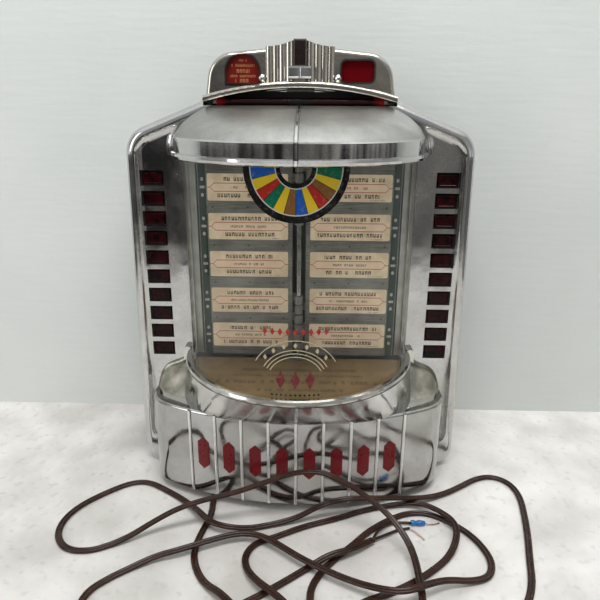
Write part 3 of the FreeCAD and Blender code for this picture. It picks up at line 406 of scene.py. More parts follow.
def strands(line):
    """Points and faces of fine wires that are wound round a line and fray towards its end."""
    verts, faces = [], []
    for s in range(STRANDS):
        wound = []
        for i, point in enumerate(line):
            across, above = sides_at(line, i)
            share = i / (len(line) - 1)
            angle = 2 * math.pi * (s / STRANDS + TWISTS * share)
            spread = BUNDLE_R * (1.0 + 0.5 * share * math.sin(2.1 * s)) * MM
            wound.append(point + (across * math.cos(angle) + above * math.sin(angle)) * spread)
        more, quads = skin(sweep(wound, round_section(STRAND_R, 5)))
        faces += [[len(verts) + v for v in face] for face in quads]
        verts += more
    return verts, faces


COPPER = mottled("bare_copper", (0.40, 0.25, 0.17), (0.82, 0.68, 0.58), (1.4, 3.0, 0.35, 0.65),
                 Metallic=1.0, Roughness=0.3)
tip, stub = (finish_mesh(mesh_of(name, *strands(smooth_line(corners, 10))), "casing", COPPER)
             for name, corners in (("bare_tip", BARE_TIP), ("bare_stub", BARE_STUB)))
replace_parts(lead_upper, "cord_leads")
print("strands in each bare end:", STRANDS)

# %% [markdown]
# ## The crimp
# A crimp connector is a metal barrel in a tinted vinyl sleeve. Its sleeve is a surface of
# revolution, so it is lathed: a list of lengths and radii is turned about its axis. Two flats
# pressed into the middle are what the crimping tool leaves.

# %% Crimp sleeve
CRIMP_START = Vector((108, -96, 2.65)) * MM + Vector((0, FACE * MM, 0))
CRIMP_PROFILE = [(-0.2, 1.4), (0.0, 2.4), (0.6, 2.6), (3.0, 2.58), (4.0, 2.1), (5.4, 2.1), (6.4, 2.58),
                 (9.2, 2.6), (10.0, 2.4), (12.8, 2.0), (13.2, 1.4)]
PINCH_FROM, PINCH_TO, PINCHED = 3.5, 6.0, 0.82


def lathe_x(start, profile):
    """Rings of a profile of (length, radius) in millimetres, turned about an axis along X."""
    rings = []
    for along, radius in profile:
        flat = PINCHED if PINCH_FROM < along < PINCH_TO else 1.0
        rings.append([start + Vector((along, y, z * flat)) * MM for y, z in round_section(radius, 24)])
    return rings


SLEEVE = mottled("sleeve_blue", (0.003, 0.11, 0.42), (0.01, 0.27, 0.74), (0.9, 3.0, 0.3, 0.7),
                 Roughness=0.25, Transmission_Weight=0.35, IOR=1.5, Coat_Weight=0.4)
crimp = finish_mesh(mesh_of("crimp_sleeve", *skin(lathe_x(CRIMP_START, CRIMP_PROFILE))), "casing",
                    SLEEVE)
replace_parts(crimp, "crimp_connector")

# %% [markdown]
# ## Stage
# The box stands on a pale table with a pale wall close behind. The wall is seen from in front
# only: its back lets light and the camera through, so that the back of the box can be looked at.

# %% Table and wall
WALL_Y, WALL_SIDE, WALL_TOP = 0.139, 3, 3
TABLE_FRONT, TABLE_BACK, TABLE_SIDE = -0.815, 1.1, 0.9


def sheet(name, side, near, far, material):
    """Flat sheet, so far to either side, between edges at two places in Y and Z."""
    mesh = mesh_of(name, [(-side, *near), (side, *near), (side, *far), (-side, *far)], [(0, 1, 2, 3)])
    mesh.materials.append(material)
    piece = bpy.data.objects.new(name, mesh)
    show(piece)


def table_top():
    material, shader, place = finish("table_top")
    marks = cloud(place, 0.11, 6.0, 0.56, 0.70) * 0.4
    wear_and_shade = blend(cloud(place, 0.014, 6.0, 0.35, 0.65), (0.64, 0.615, 0.58), (0.88, 0.86, 0.83))
    paint(shader, marks, wear_and_shade, (0.50, 0.475, 0.44))
    put(shader, "Roughness", cloud(place, 0.05, 4.0, 0.3, 0.7, 0.34, 0.52))
    return material


def wall_paint():
    material, shader, place = finish("wall_paint", Roughness=0.8)
    tree = material.node_tree
    paint(shader, cloud(place, 0.006, 4.0, 0.3, 0.7), (0.74, 0.775, 0.755), (0.79, 0.82, 0.80))
    strokes = noise(place, 0.16, 4.0, stretch=(0.12, 1.0, 1.0))
    emboss(shader, strokes + noise(place, 0.03), 0.5, 0.7 * MM)
    back = add(tree, "NewGeometry", out="Backfacing")
    through = back.high(add(tree, "LightPath", out="Is Shadow Ray"))
    clear = add(tree, "BsdfTransparent")
    mixed = add(tree, "MixShader", n0=through, n1=Sum(shader.outputs[0]), n2=clear)
    put(tree.nodes["Material Output"], "Surface", mixed)
    return material


sheet("table", TABLE_SIDE, (TABLE_FRONT, 0), (TABLE_BACK, 0), table_top())
sheet("wall", WALL_SIDE, (WALL_Y, -0.01), (WALL_Y, WALL_TOP), wall_paint())
print("wall", WALL_Y, "m behind the middle of the box")

# %% [markdown]
# ## Light
# Polished metal shows the room, so the room matters more than the lamps. The world is painted
# by direction: a pale ceiling with a bright panel, a darker room with posts at eye height, open
# at both sides, and a dark floor with pale boards. Only reflections see it; all else gets a
# plain soft light. The lamps are large, so that they leave broad, soft reflections.

# %% Room and lamps
POSTS = (1.0, 1.0, 0.22)      # stretch that stands the blots of a noise upright


def room():
    world = bpy.data.worlds.new("room")
    bpy.context.scene.world = world
    world.use_nodes = True
    tree = world.node_tree
    tree.nodes.clear()
    way = add(tree, "TexCoord", out="Generated")
    across, _, height = split(way)
    blots = noise(way, 3.2, 2.0)
    posts = noise(way, 4.6, 3.0, POSTS)
    walls = blend(ramp(posts, 0.45, 0.56), (0.035, 0.035, 0.038), (0.30, 0.295, 0.285))
    open_side = blend(ramp(posts, 0.40, 0.5), (0.12, 0.12, 0.12), (0.74, 0.75, 0.75))
    around = blend(ramp(abs(across), 0.4, 0.7), walls, open_side)
    ceiling = blend(ramp(height + blots * 0.12, 0.62, 0.72), (0.34, 0.345, 0.35), (0.85, 0.86, 0.87))
    boards = posts * 0.45 + noise(way, 15.0, 3.0, POSTS) * 0.55
    planks = blend(ramp(across, -0.35, 0.35), (0.13, 0.125, 0.12), (0.31, 0.30, 0.285))
    floor = blend(ramp(boards, 0.44, 0.6), (0.018, 0.017, 0.017), planks)
    above = blend(ramp(height + blots * 0.15, 0.12, 0.3), around, ceiling)
    seen = blend(ramp(height, -0.06, 0.0), floor, above)
    mirror = add(tree, "Background", Color=seen, Strength=1.0)
    plain = add(tree, "Background", Color=(0.80, 0.80, 0.79, 1), Strength=0.50)
    glossy = add(tree, "LightPath", out="Is Glossy Ray")
    mixed = add(tree, "MixShader", n0=glossy, n1=plain, n2=mirror)
    put(tree.nodes.new("ShaderNodeOutputWorld"), "Surface", mixed)


def lamp(name, place, target, size, power):
    """Large lamp at a place, turned to a target."""
    light = bpy.data.lights.new(name, "AREA")
    light.shape = "RECTANGLE"
    light.size, light.size_y = size
    light.energy = power
    holder = bpy.data.objects.new(name, light)
    holder.location = place
    holder.rotation_euler = (Vector(target) - Vector(place)).to_track_quat("-Z", "Y").to_euler()
    show(holder)


room()
lamp("lamp_above", (0.12, -0.5, 1.5), (0, 0, 0.15), (1.0, 0.4), 12.5)
lamp("lamp_left", (-1.3, -0.9, 0.8), (0, 0, 0.2), (0.5, 0.9), 4.0)
lamp("lamp_behind", (0.9, 1.4, 1.2), (0, 0, 0.2), (0.8, 0.8), 6.0)
bpy.context.scene.view_settings.view_transform = "Standard"

# %% [markdown]
# ## Chrome
# Old plated die-castings are mirror bright where they were buffed and hazy where they were not.
# Wiping leaves fine scratches and age leaves warm stains, so the colour, the roughness and a
# very shallow bump all vary. The hood is buffed only round its band, so its satin top is set
# apart by height; the console's bow is told from its ribs by how far they stand proud of it.
# Some colour is painted light and shade: a painted highlight on the ribs of the hood and the
# console, painted shade along their feet and round the crown's windows, and a hood dome
# painted darker towards its top and sides.

# %% Chrome finishes
HOOD_BUFFED_TO = 344.5        # height in millimetres where the hood's polished band ends
HOOD_TOP = 380.0              # height of its dome
BOW_R, BOW_Y = 270.0, 189.0 + FACE
RIBS_TOP, LEDGE = 97.0, 99.0  # heights where the console's ribs end and its funnel starts
TOWER_PLATE = (4.9, 404.0, 423.8)           # half its width, and the heights of its ends
ARCHED = (-51.0, 399.0, 14.5)               # middle of a window across and up, and its radius
SQUARE = (51.0, 399.5, 10.25, 4.75, 4.0)    # middle, half the width and height, and corner radius


def chrome(name, haze=0.06, stain=0.5, bright=(0.66, 0.665, 0.665), wave=0.12, bloom=0.07):
    """Plated casting; wave is how many millimetres its flats are out of true, bloom its dull patches."""
    material, shader, place = finish(name, Metallic=1.0)
    clouds = cloud(place, 0.03, 5.0, 0.42, 0.75)
    pits = cloud(place, 0.9, 6.0, 0.62, 0.72)
    wiped = noise(place, 0.6, 2.0, stretch=(0.12, 0.12, 2.6))
    warm = [c * share for c, share in zip(bright, (0.76, 0.72, 0.64))]
    grain = cloud(place, 0.7, 4.0, 0.35, 0.65, 0.0, 0.22)
    colour = blend(pits * 0.45 + grain, blend(clouds * stain, bright, warm), (0.3, 0.27, 0.23))
    rough = ramp(wiped, 0.3, 0.7, haze * 0.85, haze * 1.2) + clouds * bloom + pits * 0.12
    put(shader, "Base Color", colour)
    put(shader, "Roughness", rough)
    ripple = noise(place, 0.085, 2.0) * (wave * 0.11)
    emboss(shader, noise(place, 0.022, 2.0) * wave + ripple + wiped * 0.0012, 1.0, MM)
    return material, shader, place, colour, rough


def satin_hood():
    """The hood is satin over its dome, which is painted darker towards its top and sides as shade;
    its rib is less rough, with a painted highlight on it and painted shade along both its sides.
    """
    material, shader, place, colour, rough = chrome("chrome_hood", 0.07, 0.6)
    x, _, height = split(place)
    beside = abs(x)
    satin = ramp(height + noise(place, 0.08) * 1.5, HOOD_BUFFED_TO, HOOD_BUFFED_TO + 1.6)
    patina = blend(cloud(place, 0.09, 6.0, 0.3, 0.7), (0.50, 0.495, 0.47), (0.62, 0.62, 0.60))
    patina = blend(cloud(place, 1.1, 3.0, 0.4, 0.65) * 0.35, patina, (0.3, 0.3, 0.28))
    # Painted shade: the dome's colour is made darker towards its top and its sides, then mixed into the
    # patina.
    wear_and_shade = ramp(height, 352.0, HOOD_TOP, 1.0, 0.7) * ramp(beside, 30.0, 100.0, 1.0, 0.5)
    patina = blend(wear_and_shade, (0.17, 0.17, 0.16), patina)
    # Painted highlight on the rib, and painted shade in a thin band along both its sides.
    rib = ramp(beside, 0.7, 1.1, 1.0, 0.0)
    crease_shade = ramp(abs(beside - 1.5), 0.2, 0.8, 0.6, 0.0)
    colour = blend(rib * 0.8, blend(satin, colour, patina), (0.86, 0.86, 0.85))
    paint(shader, crease_shade, colour, (0.12, 0.11, 0.10))
    put(shader, "Roughness", rough + satin * 0.27 * (rib * -0.7 + 1.0))
    return material


def console_wear_and_painted_light():
    """Polished bow and funnel, satin warm ears, and ribs with a painted highlight on their crests
    and painted shade along their feet.
    """
    material, shader, place, colour, rough = chrome("chrome_console", 0.06, 0.5, (0.48, 0.48, 0.475),
                                                    0.3, 0.14)
    x, y, z = split(place)
    ear = ramp(abs(x) + noise(place, 0.06) * 12.0, 108.0, 124.0) * ramp(z, LEDGE - 5.0, LEDGE)
    patina = blend(cloud(place, 0.06, 5.0, 0.35, 0.65), (0.25, 0.23, 0.16), (0.58, 0.555, 0.46))
    across = y - BOW_Y
    proud = (x * x + across * across).do("SQRT") - BOW_R
    # Painted highlight on the crests of the ribs, and painted shade where their feet meet the bow.
    crest = ramp(proud, 0.65, 0.95) * (z < RIBS_TOP)
    crease_shade = ramp(abs(proud - 0.45), 0.08, 0.28, 0.8, 0.0) * (z < RIBS_TOP)
    funnel = ramp(z, LEDGE, LEDGE + 4.0) * ramp(abs(x), 40.0, 95.0, 1.0, 0.15)
    colour = blend(funnel, colour, (0.95, 0.945, 0.93))
    colour = blend(crest, blend(ear * 0.85, colour, patina), (0.92, 0.92, 0.91))
    paint(shader, crease_shade, colour, (0.10, 0.09, 0.08))
    put(shader, "Roughness", rough + ear * 0.2 + crest * 0.2 + funnel * 0.05)
    return material


def crown_age_and_painted_shade():
    """Duller casting: painted shade in a band round its windows, and a dark plate on the coin tower."""
    material, shader, place, colour, rough = chrome("chrome_crown", 0.12, 0.8, (0.62, 0.59, 0.53), 0.6, 0.15)
    x, y, z = split(place)
    half, low, high = TOWER_PLATE
    plate = (abs(x) < half) * (y < FACE - 3.6) * (z > low) * (z < high)
    middle, level, radius = ARCHED
    off, up = x - middle, (z - level).high(0.0)
    arch = (off * off + up * up).do("SQRT") - radius
    middle, level, half_width, half_height, radius = SQUARE
    wide = (abs(x - middle) - half_width).high(0.0)
    tall = (abs(z - level) - half_height).high(0.0)
    pane = (wide * wide + tall * tall).do("SQRT") - radius
    # Painted shade: a dark band round each window stands in for the shade in its recess.
    groove = ramp(arch.low(pane), 0.8, 2.4, 0.85, 0.0) * (y < FACE + 6.0) * (z > 387.0)
    colour = blend(groove, colour, (0.07, 0.06, 0.05))
    paint(shader, plate, colour, (0.085, 0.058, 0.055))
    put(shader, "Roughness", rough + plate * 0.12)
    return material


CHROME = chrome("chrome_bright", haze=0.08, wave=0.6, bloom=0.22)[0]
CHROME_RIM = chrome("chrome_rim", haze=0.13, bright=(0.74, 0.73, 0.68))[0]
CHROME_CONSOLE = console_wear_and_painted_light()
CHROME_HOOD = satin_hood()
CHROME_CROWN = crown_age_and_painted_shade()
CHROME_SATIN = chrome("chrome_satin", haze=0.24)[0]
print("chrome finishes: 6")

# %% [markdown]
# ## Paint, plastic and sheet metal
# The back, the works and the trim are ordinary finishes. Enamel has a slight orange peel,
# brushed steel has its scratches drawn out along one axis, and mouldings have a fine grain.

# %% Plain finishes
def painted(name, colour, roughness=0.4, peel=0.12, coat=0.0, specular=0.5):
    """Paint or moulding: a little darker in blots, with a fine grain."""
    return mottled(name, shade(colour, 0.78), colour, (0.05, 5.0, 0.35, 0.7),
                   dull=(0.4, 3.0, 0.3, 0.7, roughness * 0.85, roughness * 1.2),
                   grain=(0.8, 3.0, peel, 0.1 * MM), Coat_Weight=coat, Specular_IOR_Level=specular)


def brushed(name, colour, roughness=0.3, along=(0.05, 1.0, 1.0)):
    """Sheet metal with grinding lines drawn out along one axis."""
    material, shader, place = finish(name, Metallic=1.0)
    lines = noise(place, 1.6, 3.0, stretch=along)
    paint(shader, cloud(place, 0.06, 4.0, 0.35, 0.7), shade(colour, 0.7), colour)
    put(shader, "Roughness", ramp(lines, 0.3, 0.7, roughness * 0.7, roughness * 1.4))
    emboss(shader, lines, 0.1, 0.04 * MM)
    return material


UPRIGHT = (1.0, 1.0, 0.05)    # stretch that draws grinding lines upright
GREY_ENAMEL = painted("hammer_grey", (0.20, 0.21, 0.205), 0.42, 0.5)
ZINC = brushed("zinc_plate", (0.55, 0.56, 0.54), 0.34)
CHANNEL = brushed("channel_satin", (0.60, 0.60, 0.57), 0.4, UPRIGHT)
SPINDLE = brushed("spindle_steel", (0.34, 0.34, 0.33), 0.25, UPRIGHT)
BLACK = painted("black_moulding", (0.012, 0.012, 0.013), 0.55, 0.2)
LAMINATE = painted("brown_laminate", (0.2, 0.1, 0.05), 0.5, 0.3)
BRONZE = brushed("contact_bronze", (0.6, 0.4, 0.2))
WHITE = painted("white_moulding", (0.74, 0.73, 0.69))
RED_ENAMEL = painted("red_enamel", (0.185, 0.003, 0.007), 0.3, 0.06, coat=0.05, specular=0.35)
GREEN = painted("green_enamel", (0.055, 0.085, 0.072), 0.45, 0.15)
BLACK_ENAMEL = painted("black_enamel", (0.015, 0.014, 0.014), 0.5, 0.15)
GLAND = painted("gland_brown", (0.085, 0.04, 0.03), 0.45, 0.2)
print("plain finishes ready")

# %% [markdown]
# ## Clear and lit pieces
# The window is a bent sheet of acrylic. Light must pass it without the long work of
# refraction, so it is mostly transparent with a glossy skin, stronger towards the edge of
# view. The red rod is painted bright at both ends and dark along its middle, as painted light
# and shade, and its ends glow a little as painted light.

# %% Clear finishes
def window_acrylic():
    material, shader, place = finish("window_acrylic", Roughness=0.03, IOR=1.49)
    tree = material.node_tree
    paint(shader, cloud(place, 0.02, 4.0, 0.4, 0.7), (0.75, 0.8, 0.78), (0.5, 0.53, 0.5))
    scuffs = ramp(noise(place, 0.7, 4.0, stretch=(0.3, 0.3, 1.0)), 0.6, 0.75)
    clear = add(tree, "BsdfTransparent", Color=(0.985, 0.985, 0.97, 1))
    gloss = add(tree, "BsdfGlossy", Color=(0.9, 0.92, 0.92, 1), Roughness=0.03)
    inner = add(tree, "NewGeometry", out="Backfacing")
    shine = add(tree, "Fresnel", IOR=1.49) * 0.6 * (inner < 0.5)
    glazed = add(tree, "MixShader", n0=shine, n1=clear, n2=gloss)
    dusty = add(tree, "MixShader", n0=scuffs * 0.03, n1=glazed, n2=Sum(shader.outputs[0]))
    put(tree.nodes["Material Output"], "Surface", dusty)
    return material


def red_rod():
    """Red glass, painted bright at both ends and dark along its middle as painted light and shade,
    with a faint painted glow at its ends and a black sleeve at its middle.
    """
    material, shader, place = finish("red_rod", Roughness=0.22, Specular_IOR_Level=0.3,
                                     Coat_Weight=0.2, Emission_Strength=0.04)
    along = abs(split(place)[0])
    # Painted light at both ends of the rod and painted shade along its middle; the same mask sets its faint
    # glow.
    lit = ramp(along + noise(place, 0.3) * 4.0, 68.0, 78.0)
    glass = blend(lit, (0.022, 0.001, 0.0015), (0.42, 0.012, 0.018))
    paint(shader, along < 10.0, glass, (0.014, 0.013, 0.013))
    put(shader, "Emission Color", blend(lit, (0.01, 0.0, 0.0), (0.9, 0.03, 0.03)))
    return material


def lamp_glass():
    material, shader, place = finish("lamp_phosphor", Roughness=0.35, Emission_Strength=0.1,
                                     Emission_Color=(1, 0.97, 0.9, 1))
    paint(shader, noise(place, 0.03), (0.7, 0.7, 0.67), (0.86, 0.86, 0.83))
    return material


ACRYLIC = window_acrylic()
RED_ROD = red_rod()
LAMP = lamp_glass()
print("clear finishes ready")

# %% [markdown]
# ## Printed cards
# A title card is cream stock with a red pointed frame across its middle and lines of type. The
# frame is one curve, so it is drawn by arithmetic on the card's own UV map: `u` runs along the
# card and `v` up it. Type is only suggested, by rows of notched blocks, since this part carries
# no words. A random number kept on each card makes every card different. The cards glow a
# little as painted light, in place of the light that the lamp over them would give.

# %% The title card's print
# Each row is its height on the card, half the height of its type, its reach, a salt for the
# random number and, where they differ from the rest, how fine it is and where its middle is.
TITLE_ROWS = ((0.8, 0.072, 0.44, 7.3), (0.2, 0.072, 0.44, 3.7), (0.5, 0.045, 0.26, 5.1, 34.0),
              (0.055, 0.018, 0.1, 2.9, 50.0, 0.84))


def type_line(u, v, seed, row, half_height, spread, across, salt, middle):
    """Ink mask of one line of type, spread wide either side of its middle.

    The line is cut into cells, so many to one unit of u. A random number of each cell says
    whether it is a gap between words, how wide its block is, and which way its notch opens.
    """
    line = (abs(u - middle) < spread) * (abs(v - row) < half_height)
    cell = (u * across).do("FLOOR")
    chance = vector(u.tree, n0=cell, n1=seed * 91.0, n2=row * 13.0 + salt)
    dice = add(u.tree, "TexWhiteNoise", out=1, noise_dimensions="3D", Vector=chance)
    red, green, blue = split(dice, "Color")
    along = u * across - cell
    wide = green * 0.25 + 0.6
    side = (blue > 0.5) * 2.0 - 1.0
    notch = (abs(along - wide * 0.5) < 0.11) * ((v - row) * side > half_height * -0.25)
    return line * (red < 0.84) * (along < wide) * (notch < 0.5)


def title_line(u, v, seed, row, half_height, reach, salt, across=24.0, middle=0.5):
    """Line of type on a title card, whose length the card's random number settles."""
    width = seed * salt
    spread = (width - width.do("FLOOR")) * 0.4 * reach + reach * 0.6
    return type_line(u, v, seed, row, half_height, spread, across, salt, middle)


def title_card():
    material, shader, place = finish("title_card", Roughness=0.6, Emission_Strength=0.1)
    tree = material.node_tree
    u, v, _ = split(add(tree, "UVMap", uv_map="card"))
    seed = add(tree, "Attribute", out="Fac", attribute_name="seed")
    stock = blend(cloud(place, 0.09, 5.0, 0.35, 0.7), (0.66, 0.53, 0.37), (0.82, 0.69, 0.51))
    opening = ramp(u.low(abs(u - 1.0)), 0.035, 0.085, 0.0, 0.15)
    rise = abs(v - 0.5)
    pale = blend((rise < opening) * 0.5, stock, (0.82, 0.62, 0.48))
    framed = blend((abs(rise - opening) < 0.016) * 0.8, pale, (0.45, 0.05, 0.03))
    upper, lower, middle, corner = (title_line(u, v, seed, *row) for row in TITLE_ROWS)
    ink = upper.high(lower).high(middle * 0.8).high(corner * 0.6)
    printed = blend(ink * 0.92, framed, (0.035, 0.026, 0.02))
    put(shader, "Base Color", printed)
    # Painted light: the print also glows faintly, for the light of the lamp over the card.
    put(shader, "Emission Color", printed)
    emboss(shader, noise(place, 1.2, 4.0), 0.1, 0.05 * MM)
    return material


TITLE_CARD = title_card()
print("title card nodes:", len(TITLE_CARD.node_tree.nodes))

# %% [markdown]
# ## Rows of small plates
# Title cards, the pips on the holder bars and the labels in the margins are all the same job:
# one small plate with rounded corners, repeated in rows and columns on both faces of a leaf. A
# geometry tree does it once, with the sizes as inputs.

# %% Geometry tree for plates in rows
STAND = (math.pi / 2, 0, 0)   # turn that stands a flat shape up, so that it faces the front


def geometry_tree(name, **kinds):
    """Empty geometry tree and its inputs; each kind of input lists its names."""
    tree = bpy.data.node_groups.new(name, "GeometryNodeTree")
    tree.interface.new_socket("Geometry", in_out="OUTPUT", socket_type="NodeSocketGeometry")
    for kind, labels in kinds.items():
        for label in labels.split():
            tree.interface.new_socket(label, in_out="INPUT", socket_type="NodeSocket" + kind)
    gate = tree.nodes.new("NodeGroupInput")
    return tree, {socket.name: Sum(socket) for socket in gate.outputs if socket.name}


def geo(tree, kind, **given):
    """A geometry node, named without the GeometryNode in front."""
    return add(tree, "GeometryNode" + kind, **given)


def close_tree(geometry, material):
    """Ends a tree in Realize Instances and Set Material."""
    real = geo(geometry.tree, "RealizeInstances", Geometry=geometry)
    inked = geo(geometry.tree, "SetMaterial", Geometry=real, Material=material)
    put(geometry.tree.nodes.new("NodeGroupOutput"), 0, inked)


def grow(tree, name, **values):
    """Plain mesh that a tree makes from these inputs."""
    start = bpy.data.meshes.new("seedling")
    seedling = bpy.data.objects.new("seedling", start)
    modifier = seedling.modifiers.new("grow", "NODES")
    modifier.node_group = tree
    for item in tree.interface.items_tree:
        if item.in_out == "INPUT":
            modifier[item.identifier] = values[item.name]
    mesh = evaluated_mesh(seedling)
    bpy.data.meshes.remove(start)
    mesh.name = name
    return mesh


def rounded_plate(tree, take, count):
    """Flat face of the tree's Width, Height and Corner, with so many points in a corner."""
    outline = geo(tree, "CurvePrimitiveQuadrilateral", Width=take["Width"], Height=take["Height"])
    rounded = geo(tree, "FilletCurve", mode="POLY", Curve=outline, Count=count, Radius=take["Corner"])
    return geo(tree, "FillCurve", mode="NGONS", Curve=rounded)


def moved(shape, **how):
    return geo(shape.tree, "Transform", Geometry=shape, **how)


def join(*parts):
    """Several geometries as one."""
    whole = parts[0].tree.nodes.new("GeometryNodeJoinGeometry")
    for part in parts:
        put(whole, 0, part)
    return Sum(whole.outputs[0])


def plates_tree():
    """Rounded plates in rows and columns, on one or both faces of a leaf that stands in XZ."""
    tree, take = geometry_tree("plates_in_rows", Int="Columns Rows Seed", Vector="Place", Bool="Both",
                               Float="Width Height Thickness Corner Column_pitch Row_pitch Face_gap",
                               Material="Material")
    flat = rounded_plate(tree, take, 4)
    thick = geo(tree, "ExtrudeMesh", Mesh=flat, Offset_Scale=take["Thickness"], Individual=False)
    body = join(thick, geo(tree, "FlipFaces", Mesh=flat))
    size = vector(tree, n0=take["Width"], n1=take["Height"], n2=1.0)
    here = geo(tree, "InputPosition")
    share = add(tree, "VectorMath", operation="DIVIDE", n0=here, n1=size)
    uv = add(tree, "VectorMath", operation="ADD", n0=share, n1=(0.5, 0.5, 0.0))
    mapped = geo(tree, "StoreNamedAttribute", data_type="FLOAT2", domain="CORNER",
                 Geometry=body, Name="card", n3=uv)
    step = vector(tree, n2=take["Row_pitch"] * -1.0)
    rows = geo(tree, "MeshLine", Count=take["Rows"], Offset=step)
    column = geo(tree, "InstanceOnPoints", Points=rows, Instance=moved(mapped, Rotation=STAND))
    chance = add(tree, "FunctionNodeRandomValue", out=1, data_type="FLOAT", Seed=take["Seed"])
    seeded = geo(tree, "StoreNamedAttribute", data_type="FLOAT", domain="INSTANCE",
                 Geometry=column, Name="seed", n3=chance)
    first = vector(tree, n0=(take["Columns"] - 1.0) * take["Column_pitch"] * -0.5)
    beside = vector(tree, n0=take["Column_pitch"])
    across = geo(tree, "MeshLine", Count=take["Columns"], Start_Location=first, Offset=beside)
    plates = geo(tree, "InstanceOnPoints", Points=across, Instance=seeded)
    front = moved(plates, Translation=vector(tree, n1=take["Face_gap"] * -1.0))
    both = join(front, moved(front, Rotation=(0, 0, math.pi)))
    chosen = geo(tree, "Switch", Switch=take["Both"], n1=front, n2=both)
    close_tree(moved(chosen, Translation=take["Place"]), take["Material"])
    return tree


PLATES = plates_tree()
print("plates tree:", len(PLATES.nodes), "nodes")

# %% [markdown]
# ## The title book
# Two piles of leaves hang on a spindle behind the window. The CAD leaves stay, with a finish
# that paints their outer margin green; the cards, pips and labels are grown on them. What is on
# a turning leaf rides on that leaf.

# %% Leaves and their cards
CARD = (76.2, 25.4, 0.35)     # all in millimetres: a plate's width, height and thickness
CARD_CORNER = 1.6
LABEL_SIZE, MARK_SIZE, PIP_SIZE = (4.6, 2.4, 0.1), (2.6, 3.4, 0.08), (1.5, 1.5, 0.25)
CARD_X, MARGIN_X, TOP_CARD_Z, CARD_PITCH = 48.8, 91.6, 297.8, 37.1
FRONT_LEAF_Y, BACK_LEAF_Y = FACE + 3.0, FACE + 7.0


def leaf_finish():
    """Satin aluminium with a painted green margin."""
    material, shader, place = finish("leaf_metal", Roughness=0.36, Metallic=0.55)
    across = abs(split(place)[0])
    lines = noise(place, 1.3, 3.0, stretch=(0.04, 1.0, 1.0))
    metal = blend(ramp(lines + noise(place, 0.04), 0.7, 1.3), (0.15, 0.152, 0.142), (0.34, 0.343, 0.325))
    margin = (across > 88.2) * (across < 95.2)
    paint(shader, margin * 0.92, metal, (0.018, 0.042, 0.036))
    put(shader, "Roughness", ramp(lines, 0.3, 0.7, 0.28, 0.5))
    emboss(shader, lines, 0.15, 0.04 * MM)
    return material


def plates(name, body, slot, material, size, corner, place, columns=1, rows=5, across=0.0, gap=0.5,
           both=True, seed=1):
    """Piece of plates in rows, with its sizes and its place in millimetres."""
    mesh = grow(PLATES, name, Width=size[0] * MM, Height=size[1] * MM, Thickness=size[2] * MM,
                Corner=corner * MM, Columns=columns, Rows=rows, Column_pitch=across * MM,
                Row_pitch=CARD_PITCH * MM, Place=tuple(v * MM for v in place), Face_gap=gap * MM,
                Both=both, Seed=seed, Material=material)
    return finish_mesh(mesh, body)


LEAF = leaf_finish()
LABEL = painted("label_white", (0.5, 0.5, 0.45), 0.5)
PIP = painted("pip_dark", (0.05, 0.055, 0.055))
for side, sign in (("right", 1), ("left", -1)):
    body = "leaf_%s_body" % side
    cards = plates("cards_" + side, body, "strip_card", TITLE_CARD, CARD, CARD_CORNER,
                   (sign * CARD_X, FRONT_LEAF_Y, TOP_CARD_Z), seed=5 + sign)
    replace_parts(cards, "strips_" + side)
    for name, size, corner, lift in (("labels_", LABEL_SIZE, 0.3, 0.0), ("marks_upper_", MARK_SIZE, 1.1, 7.4),
                                     ("marks_lower_", MARK_SIZE, 1.1, -7.4)):
        plates(name + side, body, "strip_card", LABEL, size, corner,
               (sign * MARGIN_X, FRONT_LEAF_Y, TOP_CARD_Z + lift))
    plates("pips_" + side, body, "leaf_metal", PIP, PIP_SIZE, 0.74,
           (sign * CARD_X, FRONT_LEAF_Y, TOP_CARD_Z - CARD_PITCH / 2), 3, 4, 33.5, gap=1.0)
under = plates("cards_under", "casing", "strip_card", TITLE_CARD, CARD, CARD_CORNER,
               (0, BACK_LEAF_Y, TOP_CARD_Z), 2, 5, 2 * CARD_X, both=False, seed=9)
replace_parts(under, "strips_back")
print("cards on the turning leaves: 20, under them: 10")

# %% [markdown]
# ## Keys
# Twenty keys are one shape in twenty places, and each must move alone, so one tree makes a key
# and is grown once for each body. The cap is an outline that is filleted, filled and raised in
# steps; the last steps are scaled in, which rounds the edge and dishes the face.

# %% Geometry tree for a key
DOME = ((0.45, 0.985), (0.35, 0.95), (0.001, 0.88), (-0.25, 0.93))   # rises in millimetres, and scales
DOME_RISE = 0.8 * MM
KEY_DEPTH = 8.3 * MM
KEY_SIZES = {"Width": 19.2 * MM, "Height": 11.6 * MM, "Depth": KEY_DEPTH, "Corner": 0.7 * MM,
             "Flange": (21.6 * MM, 1.5 * MM, 13.8 * MM), "Stem_radius": 2.0 * MM,
             "Stem_length": 25.0 * MM}


def key_tree():
    """A cap, the flange that stops it behind its window, and the stem that presses the blade."""
    tree, take = geometry_tree("push_key", Float="Width Height Depth Corner Stem_radius Stem_length",
                               Vector="Flange Place", Material="Material")
    cap = geo(tree, "ExtrudeMesh", Mesh=rounded_plate(tree, take, 5),
              Offset_Scale=take["Depth"] - DOME_RISE, Individual=False)
    top = cap.other(1)
    for rise, scale in DOME:
        step = geo(tree, "ExtrudeMesh", Mesh=cap, Selection=top, Offset_Scale=rise * MM, Individual=False)
        top = step.other(1)
        cap = geo(tree, "ScaleElements", Geometry=step, Selection=top, Scale=scale)
    depth = split(take["Flange"])[1]
    flange = moved(geo(tree, "MeshCube", Size=take["Flange"]), Translation=vector(tree, n1=depth * 0.5))
    stem = geo(tree, "MeshCylinder", Vertices=20, Radius=take["Stem_radius"], Depth=take["Stem_length"])
    reach = vector(tree, n1=depth + take["Stem_length"] * 0.5)
    whole = join(moved(cap, Rotation=STAND), flange, moved(stem, Translation=reach, Rotation=STAND))
    close_tree(moved(whole, Translation=take["Place"]), take["Material"])
    return tree


